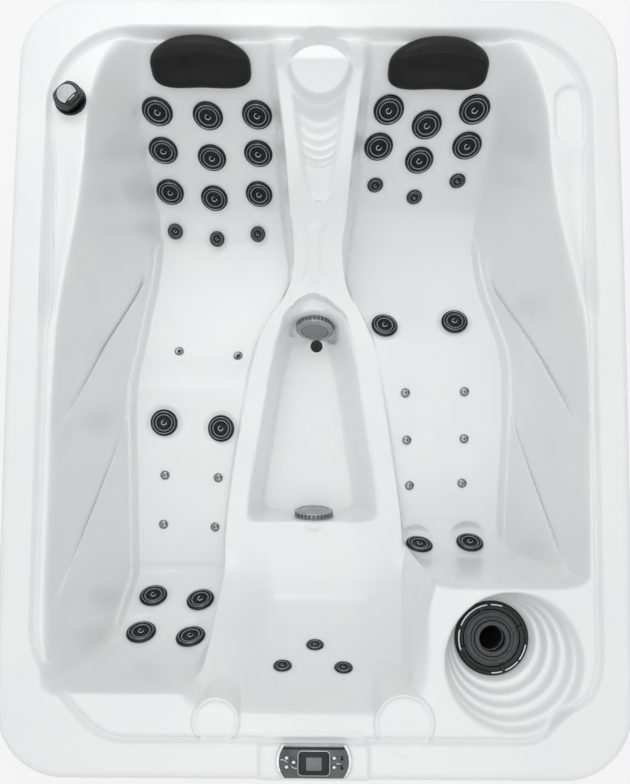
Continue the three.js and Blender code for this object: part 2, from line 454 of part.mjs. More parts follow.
function shellBody() {
  const { plan, angles, nx, ny } = gridPlan();
  const size = plan.length;
  const vertices = [];
  const triangles = [];
  const front = plan.map(([x, y]) => shellDepth(x, y));
  plan.forEach(([x, y], k) => vertices.push(x, y, tub.height - front[k]));
  plan.forEach(([x, y], k) => {
    const p = basin.wall;
    const slope = Math.hypot(tubDepth(x + p, y) - tubDepth(x - p, y), tubDepth(x, y + p) - tubDepth(x, y - p)) / (2 * p);
    const thick = basin.wall * Math.min(Math.hypot(1, slope), basin.steepest);
    const back = Math.min(front[k] + thick, wellDepth + basin.wall);
    vertices.push(x, y, tub.height - Math.max(back, basin.minBack));
  });
  const at = (i, j) => j * (nx + 1) + i;
  for (let j = 0; j < ny; j += 1) {
    for (let i = 0; i < nx; i += 1) {
      const [a, b, c, d] = [at(i, j), at(i + 1, j), at(i + 1, j + 1), at(i, j + 1)];
      const useAc = Math.abs(front[a] - front[c]) < Math.abs(front[b] - front[d]);
      const pair = useAc ? [[a, b, c], [a, c, d]] : [[a, b, d], [b, c, d]];
      for (const [p, q, r] of pair) {
        triangles.push(p, q, r, p + size, r + size, q + size);
      }
    }
  }
  // the rolled lip: rings round the grid, joined front to back
  const loop = [];
  for (let i = 0; i < nx; i += 1) loop.push(at(i, 0));
  for (let j = 0; j < ny; j += 1) loop.push(at(nx, j));
  for (let i = nx; i > 0; i -= 1) loop.push(at(i, ny));
  for (let j = ny; j > 0; j -= 1) loop.push(at(0, j));
  const rings = [[lip.edge, lip.edgeDrop], [0, lip.drop], [lip.thick, lip.bottom], [lip.seat, basin.minBack]];
  const rows = [loop];
  for (const [inset, depth] of rings) {
    const row = loop.map((k) => {
      const [x, y] = outlinePoint(angles[k], inset);
      vertices.push(x, y, tub.height - depth);
      return vertices.length / 3 - 1;
    });
    rows.push(row);
  }
  rows.push(loop.map((k) => k + size));
  for (let r = 0; r < rows.length - 1; r += 1) {
    for (let k = 0; k < loop.length; k += 1) {
      const n = (k + 1) % loop.length;
      triangles.push(rows[r][k], rows[r + 1][k], rows[r + 1][n], rows[r][k], rows[r + 1][n], rows[r][n]);
    }
  }
  return solid(vertices, triangles);
}

// A turned piece about its own +Z, from radius and height pairs that start and end on the axis
function turned(profile, sides) {
  const points = profile.map(([r, z]) => new THREE.Vector2(r, z));
  const geometry = new THREE.LatheGeometry(points, sides);
  geometry.rotateX(Math.PI / 2);
  return geometry;
}
const facing = (spot) => new THREE.Matrix4().compose(
  spot.place, new THREE.Quaternion().setFromUnitVectors(up, spot.normal), new THREE.Vector3(1, 1, 1));

const panelY = -halfLong + panel.fromEnd;

// Profiles of the fittings: a flange on the landing and a barrel through the shell
const jetProfile = (k) => [[0, -k.deep], [k.barrel, -k.deep], [k.barrel, gap.fit - k.seat], [k.flange, gap.fit - k.seat],
  [k.flange - k.edge, k.rim - k.seat], [0, k.dish - k.seat]];
const stepped = (bore, rim, low, step) => [[0, low], [bore, low], [bore, step], [rim, step], [rim, gap.cut], [0, gap.cut]];

function cutShell() {
  let shell = shellBody();
  const cuts = flats.map((spot) => fromGeometry(turned(stepped(openRadius(spot.kind), landingRadius(spot.kind), -cutDeep,
    -spot.kind.seat), sidesOf(spot.kind)), facing(spot)));
  cuts.push(upright(stepped(skimmer.bucket + gap.play, skimmer.ringOuter + gap.clear, -skimmer.deep, 0), sides.ring,
    ring.x, ring.y, ring.z));
  const stemHole = (knob.stem + gap.bore) / Math.cos(Math.PI / sides.jet);
  cuts.push(upright(stepped(stemHole, stemHole, -cutDeep - gap.cut, 0), sides.jet, across.boss, along.boss, knobSeat));
  const [holeX, holeY] = [panel.boxLong / 2 + panel.boxPlay, panel.boxWide / 2 + panel.boxPlay];
  cuts.push(fromGeometry(block(-holeX, holeX, panelY - holeY, panelY + holeY, tub.height - basin.minBack - gap.cut,
    tub.height + gap.cut)));
  for (const cut of cuts) shell = shell.subtract(cut);
  return shell.simplify(gap.smooth);
}
function upright(profile, count, x, y, z) {
  return fromGeometry(turned(profile, count), new THREE.Matrix4().makeTranslation(x, y, z));
}

// A straight-sided hose along a smooth path
function hoseGeometry(points, radius, steps, count) {
  const path = new THREE.CatmullRomCurve3(points, false, "centripetal");
  const section = new THREE.Shape();
  for (let k = 0; k < count; k += 1) {
    const angle = (2 * Math.PI * k) / count;
    const [x, y] = [radius * Math.cos(angle), radius * Math.sin(angle)];
    if (k === 0) section.moveTo(x, y);
    else section.lineTo(x, y);
  }
  section.closePath();
  return new THREE.ExtrudeGeometry(section, { steps, extrudePath: path, bevelEnabled: false });
}
// Straight lengths of pipe from stop to stop
function pipe(stops, radius) {
  let joined = null;
  for (let k = 0; k + 1 < stops.length; k += 1) {
    const run = stops[k + 1].clone().sub(stops[k]);
    const long = run.length();
    const turn = new THREE.Quaternion().setFromUnitVectors(up, run.normalize());
    const start = stops[k].clone().addScaledVector(run, -radius / 2);
    const length = fromGeometry(turned([[0, 0], [radius, 0], [radius, long + radius], [0, long + radius]], sides.pipe),
      new THREE.Matrix4().compose(start, turn, new THREE.Vector3(1, 1, 1)));
    joined = joined ? joined.add(length) : length;
  }
  return joined;
}
const behind = (spot, deep) => spot.place.clone().addScaledVector(spot.normal, -deep);

// Round-cornered plate between two heights
function roundPlate(halfX, halfY, corner, low, high, count = sides.corner) {
  const shape = new THREE.Shape();
  shape.moveTo(halfX, -halfY + corner);
  shape.lineTo(halfX, halfY - corner);
  shape.absarc(halfX - corner, halfY - corner, corner, 0, Math.PI / 2, false);
  shape.lineTo(-halfX + corner, halfY);
  shape.absarc(-halfX + corner, halfY - corner, corner, Math.PI / 2, Math.PI, false);
  shape.lineTo(-halfX, -halfY + corner);
  shape.absarc(-halfX + corner, -halfY + corner, corner, Math.PI, 1.5 * Math.PI, false);
  shape.lineTo(halfX - corner, -halfY);
  shape.absarc(halfX - corner, -halfY + corner, corner, 1.5 * Math.PI, 2 * Math.PI, false);
  const geometry = new THREE.ExtrudeGeometry(shape, { depth: high - low, bevelEnabled: false, curveSegments: count });
  geometry.translate(0, 0, low);
  return geometry;
}
const block = (x0, x1, y0, y1, z0, z1) => {
  const geometry = new THREE.BoxGeometry(x1 - x0, y1 - y0, z1 - z0);
  geometry.translate((x0 + x1) / 2, (y0 + y1) / 2, (z0 + z1) / 2);
  return geometry;
};

// Materials
const finish = (color, roughness, metalness = 0) => new THREE.MeshStandardMaterial({ color, roughness, metalness });
const acrylic = () => finish(0xf4f5f6, 0.12);
const blackPlastic = () => finish(0x17181a, 0.28);
const softBlack = () => finish(0x1c1c1e, 0.6);
const chrome = () => finish(0xc9cccf, 0.12, 1);
const greyPlastic = () => finish(0x8b8e91, 0.45);
const whitePipe = () => finish(0xe6e7e6, 0.5);
const cabinetPlastic = () => finish(0x5c5f62, 0.6);
const steel = () => finish(0xa9adb0, 0.35, 1);
const timber = () => finish(0xb08a5c, 0.75);

const group = new THREE.Group();
function add(name, geometry, material, place = [0, 0, 0]) {
  const mesh = new THREE.Mesh(geometry, material);
  mesh.name = name;
  mesh.position.set(...place);
  group.add(mesh);
  return mesh;
}
function addFacing(name, geometry, material, spot) {
  const mesh = add(name, geometry, material, spot.place.toArray());
  mesh.quaternion.setFromUnitVectors(up, spot.normal);
}

function addJets() {
  for (const row of jetRows) {
    spots[row.name].forEach((spot, i) => {
      addFacing(`${row.name}_${i + 1}`, turned(jetProfile(row.kind), sides.jet), blackPlastic(), spot);
    });
  }
}

// Three small jets that share a length of pipe
function addSmallJets() {
  for (const row of smallRows) {
    const k = row.kind;
    let joined = pipe(spots[row.name].map((spot) => behind(spot, k.deep)), hose.air);
    for (const spot of spots[row.name]) joined = joined.add(fromGeometry(turned(jetProfile(k), sides.jet), facing(spot)));
    add(row.name, toGeometry(joined.simplify(gap.smooth)), blackPlastic());
  }
}

// Air injectors that share a length of pipe
function addInjectors() {
  for (const row of injectorRows) {
    const k = row.kind;
    const stops = spots[row.name].map((spot) => behind(spot, k.deep));
    if (row.detourShares) {
      const [before, [x, y]] = row.detourShares;
      stops.splice(before, 0, behind(landing(x * halfWide, y * halfLong), k.deep));
    }
    let joined = pipe(stops, hose.air);
    for (const spot of spots[row.name]) {
      const cap = [[0, -k.deep], [k.barrel, -k.deep], [k.barrel, gap.fit - k.seat], [k.flange, gap.fit - k.seat],
        [k.flange * shares.capTop, k.high], [0, k.high]];
      joined = joined.add(fromGeometry(turned(cap, sides.hole), facing(spot)));
    }
    add(row.name, toGeometry(joined.simplify(gap.smooth)), chrome());
  }
}

function addFixed() {
  for (const name of ["far_suction_cover", "near_suction_cover", "floor_drain"]) {
    const [spot] = spots[name];
    const k = spot.kind;
    const profile = [[0, -k.deep], [k.barrel, -k.deep], [k.barrel, gap.fit - k.seat], [k.flange, gap.fit - k.seat],
      [k.flange, k.rim - k.seat - k.dome], [k.flange * shares.domeTop, k.rim - k.seat], [0, k.rim - k.seat]];
    addFacing(name, turned(profile, sides.ring), name === "floor_drain" ? blackPlastic() : greyPlastic(), spot);
  }
}

// Skimmer in the corner bowl: trim ring, bucket under the shell, lid with the cartridge below it
function addSkimmer() {
  const k = skimmer;
  const place = [ring.x, ring.y, ring.z];
  const lidRadius = k.ringInner - gap.play;
  add("skimmer_ring", turned([[k.ringInner, gap.fit], [k.ringOuter, gap.fit], [k.ringOuter - k.wall, k.ringHigh],
    [k.ringInner, k.ringHigh], [k.ringInner, gap.fit]], sides.ring), blackPlastic(), place);
  add("skimmer_bucket", turned([[0, -k.deep], [k.bucket, -k.deep], [k.bucket, 0], [k.bucket - k.wall, 0],
    [k.bucket - k.wall, k.wall - k.deep], [0, k.wall - k.deep]], sides.ring), whitePipe(), place);
  const low = k.wall - k.deep + gap.fit;
  add("filter_cartridge", turned([[k.core, low], [k.cartridge, low], [k.cartridge, low + k.cartridgeHigh],
    [k.core, low + k.cartridgeHigh], [k.core, low]], sides.ring), whitePipe(), place);
  const lidLow = low + k.cartridgeHigh + gap.fit;
  const disc = fromGeometry(turned([[k.core, lidLow], [lidRadius, lidLow], [lidRadius, k.ringHigh - k.wall],
    [k.core, k.ringHigh + k.wall], [k.core, lidLow]], sides.ring));
  const slot = new THREE.Shape();
  slot.absarc(0, 0, k.slotOuter, k.slotGap, Math.PI / 2 - k.slotGap, false);
  slot.absarc(0, 0, k.slotInner, Math.PI / 2 - k.slotGap, k.slotGap, true);
  let lid = disc;
  for (let q = 0; q < k.slots; q += 1) {
    const cut = new THREE.ExtrudeGeometry(slot, { depth: k.deep, bevelEnabled: false, curveSegments: sides.slot });
    cut.translate(0, 0, -k.deep / 2);
    cut.rotateZ((q * 2 * Math.PI) / k.slots);
    lid = lid.subtract(fromGeometry(cut));
  }
  add("filter_lid", toGeometry(lid), blackPlastic(), place);
}

function addKnob() {
  const k = knob;
  const place = [across.boss, along.boss, knobSeat];
  add("diverter_valve", turned([[0, -k.stemDeep], [k.housing, -k.stemDeep], [k.housing, -k.below], [k.stem, -k.below],
    [k.stem, gap.fit], [k.collar, gap.fit], [k.collar, k.collarHigh], [0, k.collarHigh]], sides.jet), blackPlastic(), place);
  const shape = new THREE.Shape();
  for (let step = 0; step < k.steps; step += 1) {
    const angle = (2 * Math.PI * step) / k.steps;
    const fromFlat = Math.asin(Math.sin(angle + Math.PI / 4));
    const radius = Math.min(k.radius, k.flat / Math.cos(k.bulgeShare * fromFlat));
    if (step === 0) shape.moveTo(radius, 0);
    else shape.lineTo(radius * Math.cos(angle), radius * Math.sin(angle));
  }
  shape.closePath();
  const geometry = new THREE.ExtrudeGeometry(shape, { depth: k.high, bevelEnabled: false });
  geometry.translate(0, 0, k.collarHigh + gap.fit);
  add("diverter_knob", geometry, blackPlastic(), place);
}

function addPanel() {
  const k = panel;
  const top = tub.height + island.high;
  let housing = fromGeometry(roundPlate(k.long / 2, k.wide / 2, k.corner, top + gap.fit, top + k.high));
  housing = housing.add(fromGeometry(block(-k.boxLong / 2, k.boxLong / 2, -k.boxWide / 2, k.boxWide / 2, top - k.boxDeep, top + k.high / 2)));
  const floor = top + k.high - k.well;
  const buttons = buttonShares.map(([x, y]) => [(x * k.long) / 2, (y * k.wide) / 2]);
  buttons.forEach(([x, y]) => {
    const bore = k.button + gap.press;
    const hole = turned([[0, 0], [bore, 0], [bore, gap.cut], [0, gap.cut]], sides.hole);
    housing = housing.subtract(fromGeometry(hole, new THREE.Matrix4().makeTranslation(x, y, floor)));
  });
  add("control_panel", toGeometry(housing), blackPlastic(), [0, panelY, 0]);
  buttons.forEach(([x, y], i) => {
    const profile = [[0, k.travel], [k.button, k.travel], [k.button, k.well + k.proud], [0, k.well + k.proud]];
    add(`panel_button_${i + 1}`, turned(profile, sides.hole), greyPlastic(), [x, panelY + y, floor]);
  });
}

// A moulded pillow: a crowned face on a flat back, bowed at the top and hollow at the bottom
function addPillow(name, spot) {
  const k = pillow;
  const vertices = [];
  const triangles = [];
  for (const layer of [0, 1]) {
    for (let j = 0; j <= k.rows; j += 1) {
      for (let i = 0; i <= k.columns; i += 1) {
        const [u, v] = [(2 * i) / k.columns - 1, (2 * j) / k.rows - 1];
        const crown = Math.min(1, (1 - u ** 4) * (1 - v ** 4) + k.edgeShare);
        vertices.push(...pillowBack(u, v), spot.lift + layer * k.thick * crown);
      }
    }
  }
  const size = (k.rows + 1) * (k.columns + 1);
  const at = (i, j) => j * (k.columns + 1) + i;
  for (let j = 0; j < k.rows; j += 1) {
    for (let i = 0; i < k.columns; i += 1) {
      const [a, b, c, d] = [at(i, j), at(i + 1, j), at(i + 1, j + 1), at(i, j + 1)];
      triangles.push(a, c, b, a, d, c, a + size, b + size, c + size, a + size, c + size, d + size);
    }
  }
  const loop = [];
  for (let i = 0; i < k.columns; i += 1) loop.push(at(i, 0));
  for (let j = 0; j < k.rows; j += 1) loop.push(at(k.columns, j));
  for (let i = k.columns; i > 0; i -= 1) loop.push(at(i, k.rows));
  for (let j = k.rows; j > 0; j -= 1) loop.push(at(0, j));
  loop.forEach((p, n) => {
    const q = loop[(n + 1) % loop.length];
    triangles.push(p, q, q + size, p, q + size, p + size);
  });
  addFacing(name, toGeometry(solid(vertices, triangles)), softBlack(), spot);
}

const standLow = cabinet.baseHigh + gap.fit;

// Stand: base tray with a plinth for the footwell, frame, skirt and a panel that pulls off
function addStand() {
  const c = cabinet;
  const [outX, outY, corner] = [halfWide - c.inset, halfLong - c.inset, tub.corner - c.inset];
  let tray = fromGeometry(roundPlate(outX, outY, corner, 0, c.baseHigh));
  const plinth = plinthShares;
  tray = tray.add(fromGeometry(block(plinth.left * halfWide, plinth.right * halfWide, plinth.near * halfLong,
    plinth.far * halfLong, c.baseHigh / 2, basin.wellHigh - basin.wall - gap.fit)));
  add("base_tray", toGeometry(tray), cabinetPlastic());
  const top = tub.height - basin.minBack - gap.fit;
  const [inX, inY, inCorner] = [outX - c.wall, outY - c.wall, corner - c.wall];
  const low = standLow;
  const hoop = (grow, wide, from, to) => fromGeometry(roundPlate(inX + grow, inY + grow, inCorner + grow, from, to))
    .subtract(fromGeometry(roundPlate(inX + grow - wide, inY + grow - wide, inCorner + grow - wide, from - gap.cut, to + gap.cut)));
  const half = (outX - corner) * c.doorShare;
  const doorTop = tub.height - lip.bottom - gap.fit;
  const doorway = fromGeometry(block(-half, half, -halfLong, -inY + c.wall, low - gap.cut, doorTop));
  add("cabinet_skirt", toGeometry(hoop(c.wall, c.wall, low, top).subtract(doorway)), cabinetPlastic());
  add("access_panel", block(-half + gap.fit, half - gap.fit, -outY, -inY, low, doorTop - gap.fit), cabinetPlastic());
  let frame = hoop(-gap.fit, c.railWide, top - c.rail, top);
  for (const [sx, sy] of [[1, 1], [1, -1], [-1, 1], [-1, -1]]) {
    const [x, y] = [sx * (inX - c.postIn), sy * (inY - c.postIn)];
    frame = frame.add(fromGeometry(block(x - c.post / 2, x + c.post / 2, y - c.post / 2, y + c.post / 2, low, top - c.rail / 2)));
  }
  add("frame", toGeometry(frame), timber());
}

const pumpPlace = new THREE.Vector3(-pump.left, -halfLong + pump.fromEnd, standLow + pump.axis);
function addMachinery() {
  const k = pump;
  const low = standLow;
  const lying = (profile) => turned(profile, sides.jet).rotateY(Math.PI / 2);
  let whole = fromGeometry(lying([[0, 0], [k.motor, 0], [k.motor, k.long], [0, k.long]]));
  whole = whole.add(fromGeometry(lying([[0, k.long - k.lap], [k.wetEnd, k.long - k.lap], [k.wetEnd, k.long + k.wetLong],
    [0, k.long + k.wetLong]])));
  whole = whole.add(fromGeometry(block(k.foot, k.long - k.foot, -k.motor, k.motor, -k.axis, -k.axis / 2)));
  add("circulation_pump", toGeometry(whole), blackPlastic(), pumpPlace.toArray());
  const h = heater;
  add("heater_tube", lying([[0, 0], [h.radius, 0], [h.radius, h.long], [0, h.long]]), steel(),
    [-h.left, -halfLong + h.fromEnd, low + h.radius * Math.cos(Math.PI / sides.jet)]);
  const b = controlBox;
  add("control_box", block(0, b.long, 0, b.deep, 0, b.high), greyPlastic(), [-b.left, -halfLong + b.fromEnd, low]);
  const a = blower;
  add("air_blower", turned([[0, 0], [a.radius, 0], [a.radius, a.high], [a.neck, a.high + a.neck], [0, a.high + a.neck]],
    sides.jet), blackPlastic(), [halfWide - a.fromSide, -halfLong + a.fromEnd, low]);
}

// Water hoses that run behind the jets, from the pump to each row in turn
function addHoses() {
  const reach = largeJet.deep + hose.water + hose.clear;
  const whole = pump.long + pump.wetLong;
  const hoseSide = hose.water * Math.cos(Math.PI / sides.hole);
  const beside = {
    pump_side: (share) => pumpPlace.clone().add(new THREE.Vector3(whole * share, pump.wetEnd + hose.water + gap.play, 0)),
    pump_inlet: (share) => pumpPlace.clone().add(new THREE.Vector3(whole + hoseSide + gap.facet, pump.wetEnd * share, 0)),
  };
  for (const line of waterLines) {
    const points = line.stopShares.flatMap((stop) => {
      const [x, y, z] = stop;
      if (typeof x === "number") return [new THREE.Vector3(x * halfWide, y * halfLong, z * basin.seatHigh)];
      return y.map(beside[x] ?? ((n) => behind(spots[x][n - 1], reach)));
    });
    add(line.name, hoseGeometry(points, hose.water, line.steps, sides.hole), whitePipe());
  }
}

add("shell", toGeometry(cutShell()), acrylic());
addJets();
addSmallJets();
addInjectors();
addFixed();
addSkimmer();
addKnob();
addPanel();
pillowSpots.forEach(([name, x, y]) => addPillow(name, pillowSeat(x * halfWide, y * halfLong)));
addStand();
addMachinery();
addHoses();
export default group;
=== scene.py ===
import math
import bpy
import numpy as np
from mathutils import Matrix, Vector


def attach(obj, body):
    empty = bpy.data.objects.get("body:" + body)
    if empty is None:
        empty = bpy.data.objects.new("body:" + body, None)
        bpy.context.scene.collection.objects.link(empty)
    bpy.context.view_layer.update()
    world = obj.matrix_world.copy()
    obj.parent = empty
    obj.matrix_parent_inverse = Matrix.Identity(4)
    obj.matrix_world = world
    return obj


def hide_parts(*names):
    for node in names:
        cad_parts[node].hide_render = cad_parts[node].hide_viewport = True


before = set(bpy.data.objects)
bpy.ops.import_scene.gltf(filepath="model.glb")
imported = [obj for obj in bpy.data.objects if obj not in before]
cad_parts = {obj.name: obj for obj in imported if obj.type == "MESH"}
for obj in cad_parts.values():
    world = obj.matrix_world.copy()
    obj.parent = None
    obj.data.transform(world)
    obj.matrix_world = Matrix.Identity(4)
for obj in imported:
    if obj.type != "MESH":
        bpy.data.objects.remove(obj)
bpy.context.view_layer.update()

print("frame loaded,", len(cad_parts), "nodes")

# finishes


def hexColour(code):
    # sRGB hex to linear: c / 12.92 below 0.04045, else ((c + 0.055) / 1.055) ** 2.4
    c = np.array([int(code[i:i + 2], 16) for i in (0, 2, 4)]) / 255
    return (*np.where(c > 0.04045, ((c + 0.055) / 1.055) ** 2.4, c / 12.92).tolist(), 1.0)


def addNode(tree, kind, settings, *links):
    # a node with its inputs or properties set, and (output, input name) links into it
    node = tree.nodes.new("ShaderNode" + kind)
    for key, value in settings.items():
        if key == "stops":
            marks = node.color_ramp.elements
            marks[0].position, marks[0].color = value[0][0], hexColour(value[0][1])
            marks[1].position, marks[1].color = value[-1][0], hexColour(value[-1][1])
            for place, code in value[1:-1]:
                marks.new(place).color = hexColour(code)
        elif key in node.inputs:
            node.inputs[key].default_value = value
        else:
            setattr(node, key, value)
    for output, name in links:
        tree.links.new(output, node.inputs[name])
    return node


def moulded(name, look):
    # a soft mottle sets colour and roughness, and a finer grain lifts the surface a fraction of a millimetre
    material = bpy.data.materials.new(name)
    material.use_nodes = True
    tree = material.node_tree
    tree.nodes.clear()
    place = addNode(tree, "TexCoord", {})
    spread = addNode(tree, "Mapping", {"Scale": look.get("stretch", (1, 1, 1))},
                     (place.outputs["Object"], "Vector"))
    mottle = addNode(tree, "TexNoise", {"Scale": 1000 / look["mottle"], "Detail": 3.0},
                     (spread.outputs[0], "Vector"))
    colour = addNode(tree, "ValToRGB", {"stops": [(0.3, look["dark"]), (0.7, look["light"])]},
                     (mottle.outputs[0], "Fac"))
    rough = addNode(tree, "MapRange", {"To Min": look["rough"][0], "To Max": look["rough"][1]},
                    (mottle.outputs[0], "Value"))
    grain = addNode(tree, "TexNoise", {"Scale": 1000 / look["grain"], "Detail": 2.0},
                    (spread.outputs[0], "Vector"))
    bump = addNode(tree, "Bump", {"Strength": look.get("bump", 0.5), "Distance": look["height"] / 1000},
                   (grain.outputs[0], "Height"))
    shader = addNode(tree, "BsdfPrincipled", look.get("shader", {}), (colour.outputs[0], "Base Color"),
                     (rough.outputs[0], "Roughness"), (bump.outputs[0], "Normal"))
    addNode(tree, "OutputMaterial", {}, (shader.outputs[0], "Surface"))
    return material


# vacuum-formed acrylic sheet: a wet gloss with the faint waviness that forming leaves, about 30 mm across
acrylic = moulded("cast_acrylic", {"dark": "f0f1f2", "light": "f4f5f5", "mottle": 220, "rough": (0.2, 0.27),
                                   "grain": 32, "height": 0.06, "shader": {"IOR": 1.49}})
# glass-fibre backing: dull, with matted fibres about 6 mm wide
glassFibre = moulded("glass_fibre_backing",
                     {"dark": "c9c8bd", "light": "dedccf", "mottle": 40, "rough": (0.5, 0.7),
                      "grain": 6, "height": 0.8, "shader": {"IOR": 1.54}})
# gloss-moulded ABS: near black, sharp highlights
blackAbs = moulded("gloss_black_abs",
                   {"dark": "0e0f10", "light": "17181a", "mottle": 30, "rough": (0.16, 0.26),
                    "grain": 3, "height": 0.02, "shader": {"IOR": 1.53, "Specular IOR Level": 0.35}})
# spark-textured ABS of the jets' dishes: nearly black, duller than the gloss collar round it
greyAbs = moulded("textured_grey_abs",
                  {"dark": "131415", "light": "1c1d1f", "mottle": 14, "rough": (0.3, 0.42),
                   "grain": 2, "height": 0.05, "shader": {"IOR": 1.53, "Specular IOR Level": 0.2}})
# chrome-plated ABS: bright, a little soft from the plating
platedAbs = moulded("chrome_plated_abs",
                    {"dark": "c2c4c6", "light": "d6d7d8", "mottle": 25, "rough": (0.14, 0.24),
                     "grain": 4, "height": 0.02, "shader": {"Metallic": 1.0}})
# the filter lid's own mid grey, with the same dull grain
lidAbs = moulded("textured_lid_abs",
                 {"dark": "3a3b3d", "light": "48494b", "mottle": 14, "rough": (0.3, 0.42),
                  "grain": 2, "height": 0.05, "shader": {"IOR": 1.53, "Specular IOR Level": 0.4}})
# brushed metal rings of the jets: grey, with a bright arc where the lamp falls on them
ringSteel = moulded("brushed_steel_ring",
                    {"dark": "85878a", "light": "9a9c9f", "mottle": 14, "rough": (0.12, 0.2),
                     "grain": 2, "height": 0.02, "shader": {"Metallic": 1.0}})
# polished stainless steel caps
stainless = moulded("polished_stainless",
                    {"dark": "8b8d90", "light": "a3a5a8", "mottle": 9, "rough": (0.08, 0.14),
                     "grain": 2, "height": 0.02, "shader": {"Metallic": 1.0}})
# silver-lacquered ABS: a grey that lightens where it faces the lamp
silverAbs = moulded("silver_lacquered_abs",
                    {"dark": "9a9c9e", "light": "b0b2b4", "mottle": 18, "rough": (0.25, 0.38),
                     "grain": 1.6, "height": 0.05, "shader": {"Metallic": 0.6, "IOR": 1.5}})
# integral-skin foam: a dull black skin with pebbles about 2 mm across
foamSkin = moulded("integral_skin_foam",
                   {"dark": "101011", "light": "161617", "mottle": 45, "rough": (0.4, 0.5),
                    "grain": 2.2, "height": 0.25, "shader": {"IOR": 1.5, "Specular IOR Level": 0.25}})
# satin ABS cap of the knob
satinAbs = moulded("satin_grey_abs", {"dark": "a8aaac", "light": "c4c5c7", "mottle": 20, "rough": (0.3, 0.45),
                                      "grain": 1.2, "height": 0.04, "shader": {"Metallic": 0.35, "IOR": 1.5}})
# printed polycarbonate film over the panel
panelFilm = moulded("printed_polycarbonate_film",
                    {"dark": "3f4143", "light": "5c5e60", "mottle": 60, "rough": (0.12, 0.2),
                     "grain": 5, "height": 0.02, "shader": {"IOR": 1.58}})
# clear window over the display: smooth, with a sharp reflection
displayGlass = moulded("display_window",
                       {"dark": "6d7073", "light": "7b7e80", "mottle": 30, "rough": (0.05, 0.09),
                        "grain": 6, "height": 0.01, "shader": {"IOR": 1.52}})
# extruded PVC of the hoses and the bucket: off-white, a soft sheen
whitePvc = moulded("white_pvc", {"dark": "dcdcd8", "light": "e9e9e5", "mottle": 60, "rough": (0.32, 0.45),
                                 "grain": 5, "height": 0.05, "shader": {"IOR": 1.53}})
# spun polyester of the filter: matt and slightly fibrous
filterPaper = moulded("pleated_polyester",
                      {"dark": "dfe3e8", "light": "eceef0", "mottle": 20, "rough": (0.75, 0.9),
                       "grain": 1.2, "height": 0.2, "shader": {"IOR": 1.5, "Sheen Weight": 0.2}})
# foamed polystyrene planks, embossed with a grain that runs along them
plankPlastic = moulded("embossed_polystyrene_plank",
                       {"dark": "46484a", "light": "5c5e60", "mottle": 40,
                        "stretch": (0.08, 0.08, 1), "rough": (0.5, 0.65), "grain": 3,
                        "height": 0.4, "shader": {"IOR": 1.59}})
# vacuum-formed ABS of the base tray: dark, with a dull grain
trayAbs = moulded("vacuum_formed_abs_tray",
                  {"dark": "252627", "light": "303133", "mottle": 90, "rough": (0.45, 0.6),
                   "grain": 3, "height": 0.15, "shader": {"IOR": 1.53}})
# sawn pine: darker grain lines about 7 mm apart along the rails
pine = moulded("sawn_pine", {"dark": "a67c4a", "light": "cba672", "mottle": 7, "stretch": (0.05, 0.05, 1),
                             "rough": (0.65, 0.8), "grain": 2, "height": 0.3, "shader": {"IOR": 1.5}})
# galvanised steel of the heater: a grey with patches of zinc about 16 mm wide
steelSheet = moulded("galvanised_steel",
                     {"dark": "9da1a4", "light": "b4b8bb", "mottle": 16, "rough": (0.28, 0.42),
                      "grain": 9, "height": 0.05, "shader": {"Metallic": 1.0}})
# painted cast aluminium of the pump and blower: nearly black, slightly rough
paintedMetal = moulded("painted_cast_aluminium",
                       {"dark": "16171a", "light": "202226", "mottle": 30, "rough": (0.4, 0.55),
                        "grain": 2, "height": 0.15, "shader": {"IOR": 1.5}})
# moulded ABS of the control box: mid grey, dull
boxAbs = moulded("grey_abs_box", {"dark": "7d8083", "light": "8d9093", "mottle": 50, "rough": (0.4, 0.5),
                                  "grain": 1.5, "height": 0.08, "shader": {"IOR": 1.53}})
print("finishes made")

# makers: lengths in millimetres until joined parts become a mesh

toMetres = 0.001
middle = 1e6   # an inset that means the middle of a plate


def joined(name, parts):
    # one mesh in metres from (points, faces) parts, each part's corners numbered on from the last part's
    points = np.vstack([p for p, _ in parts])
    starts = np.cumsum([0] + [len(p) for p, _ in parts[:-1]])
    faces = [[corner + int(start) for corner in face]
             for (_, part), start in zip(parts, starts) for face in part]
    mesh = bpy.data.meshes.new(name)
    mesh.from_pydata((points * toMetres).tolist(), [], faces)
    return mesh


def makeMesh(name, parts, material, body, gone=()):
    # one object at the origin from (points, faces) parts, smooth shaded, riding on its body
    mesh = joined(name, parts)
    mesh.shade_smooth()
    mesh.materials.append(material)
    piece = bpy.data.objects.new(name, mesh)
    bpy.context.scene.collection.objects.link(piece)
    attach(piece, body)
    if gone:
        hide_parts(*gone)
    return piece


def gridFaces(rows, columns, wrapRows=False, wrapColumns=False):
    # face (i, j) joins (i, j), (i, j + 1), (i + 1, j + 1), (i + 1, j)
    i, j = np.meshgrid(np.arange(rows - (not wrapRows)), np.arange(columns - (not wrapColumns)),
                       indexing="ij")
    i2, j2 = (i + 1) % rows, (j + 1) % columns
    corners = [i * columns + j, i * columns + j2, i2 * columns + j2, i2 * columns + j]
    return np.stack(corners, -1).reshape(-1, 4)


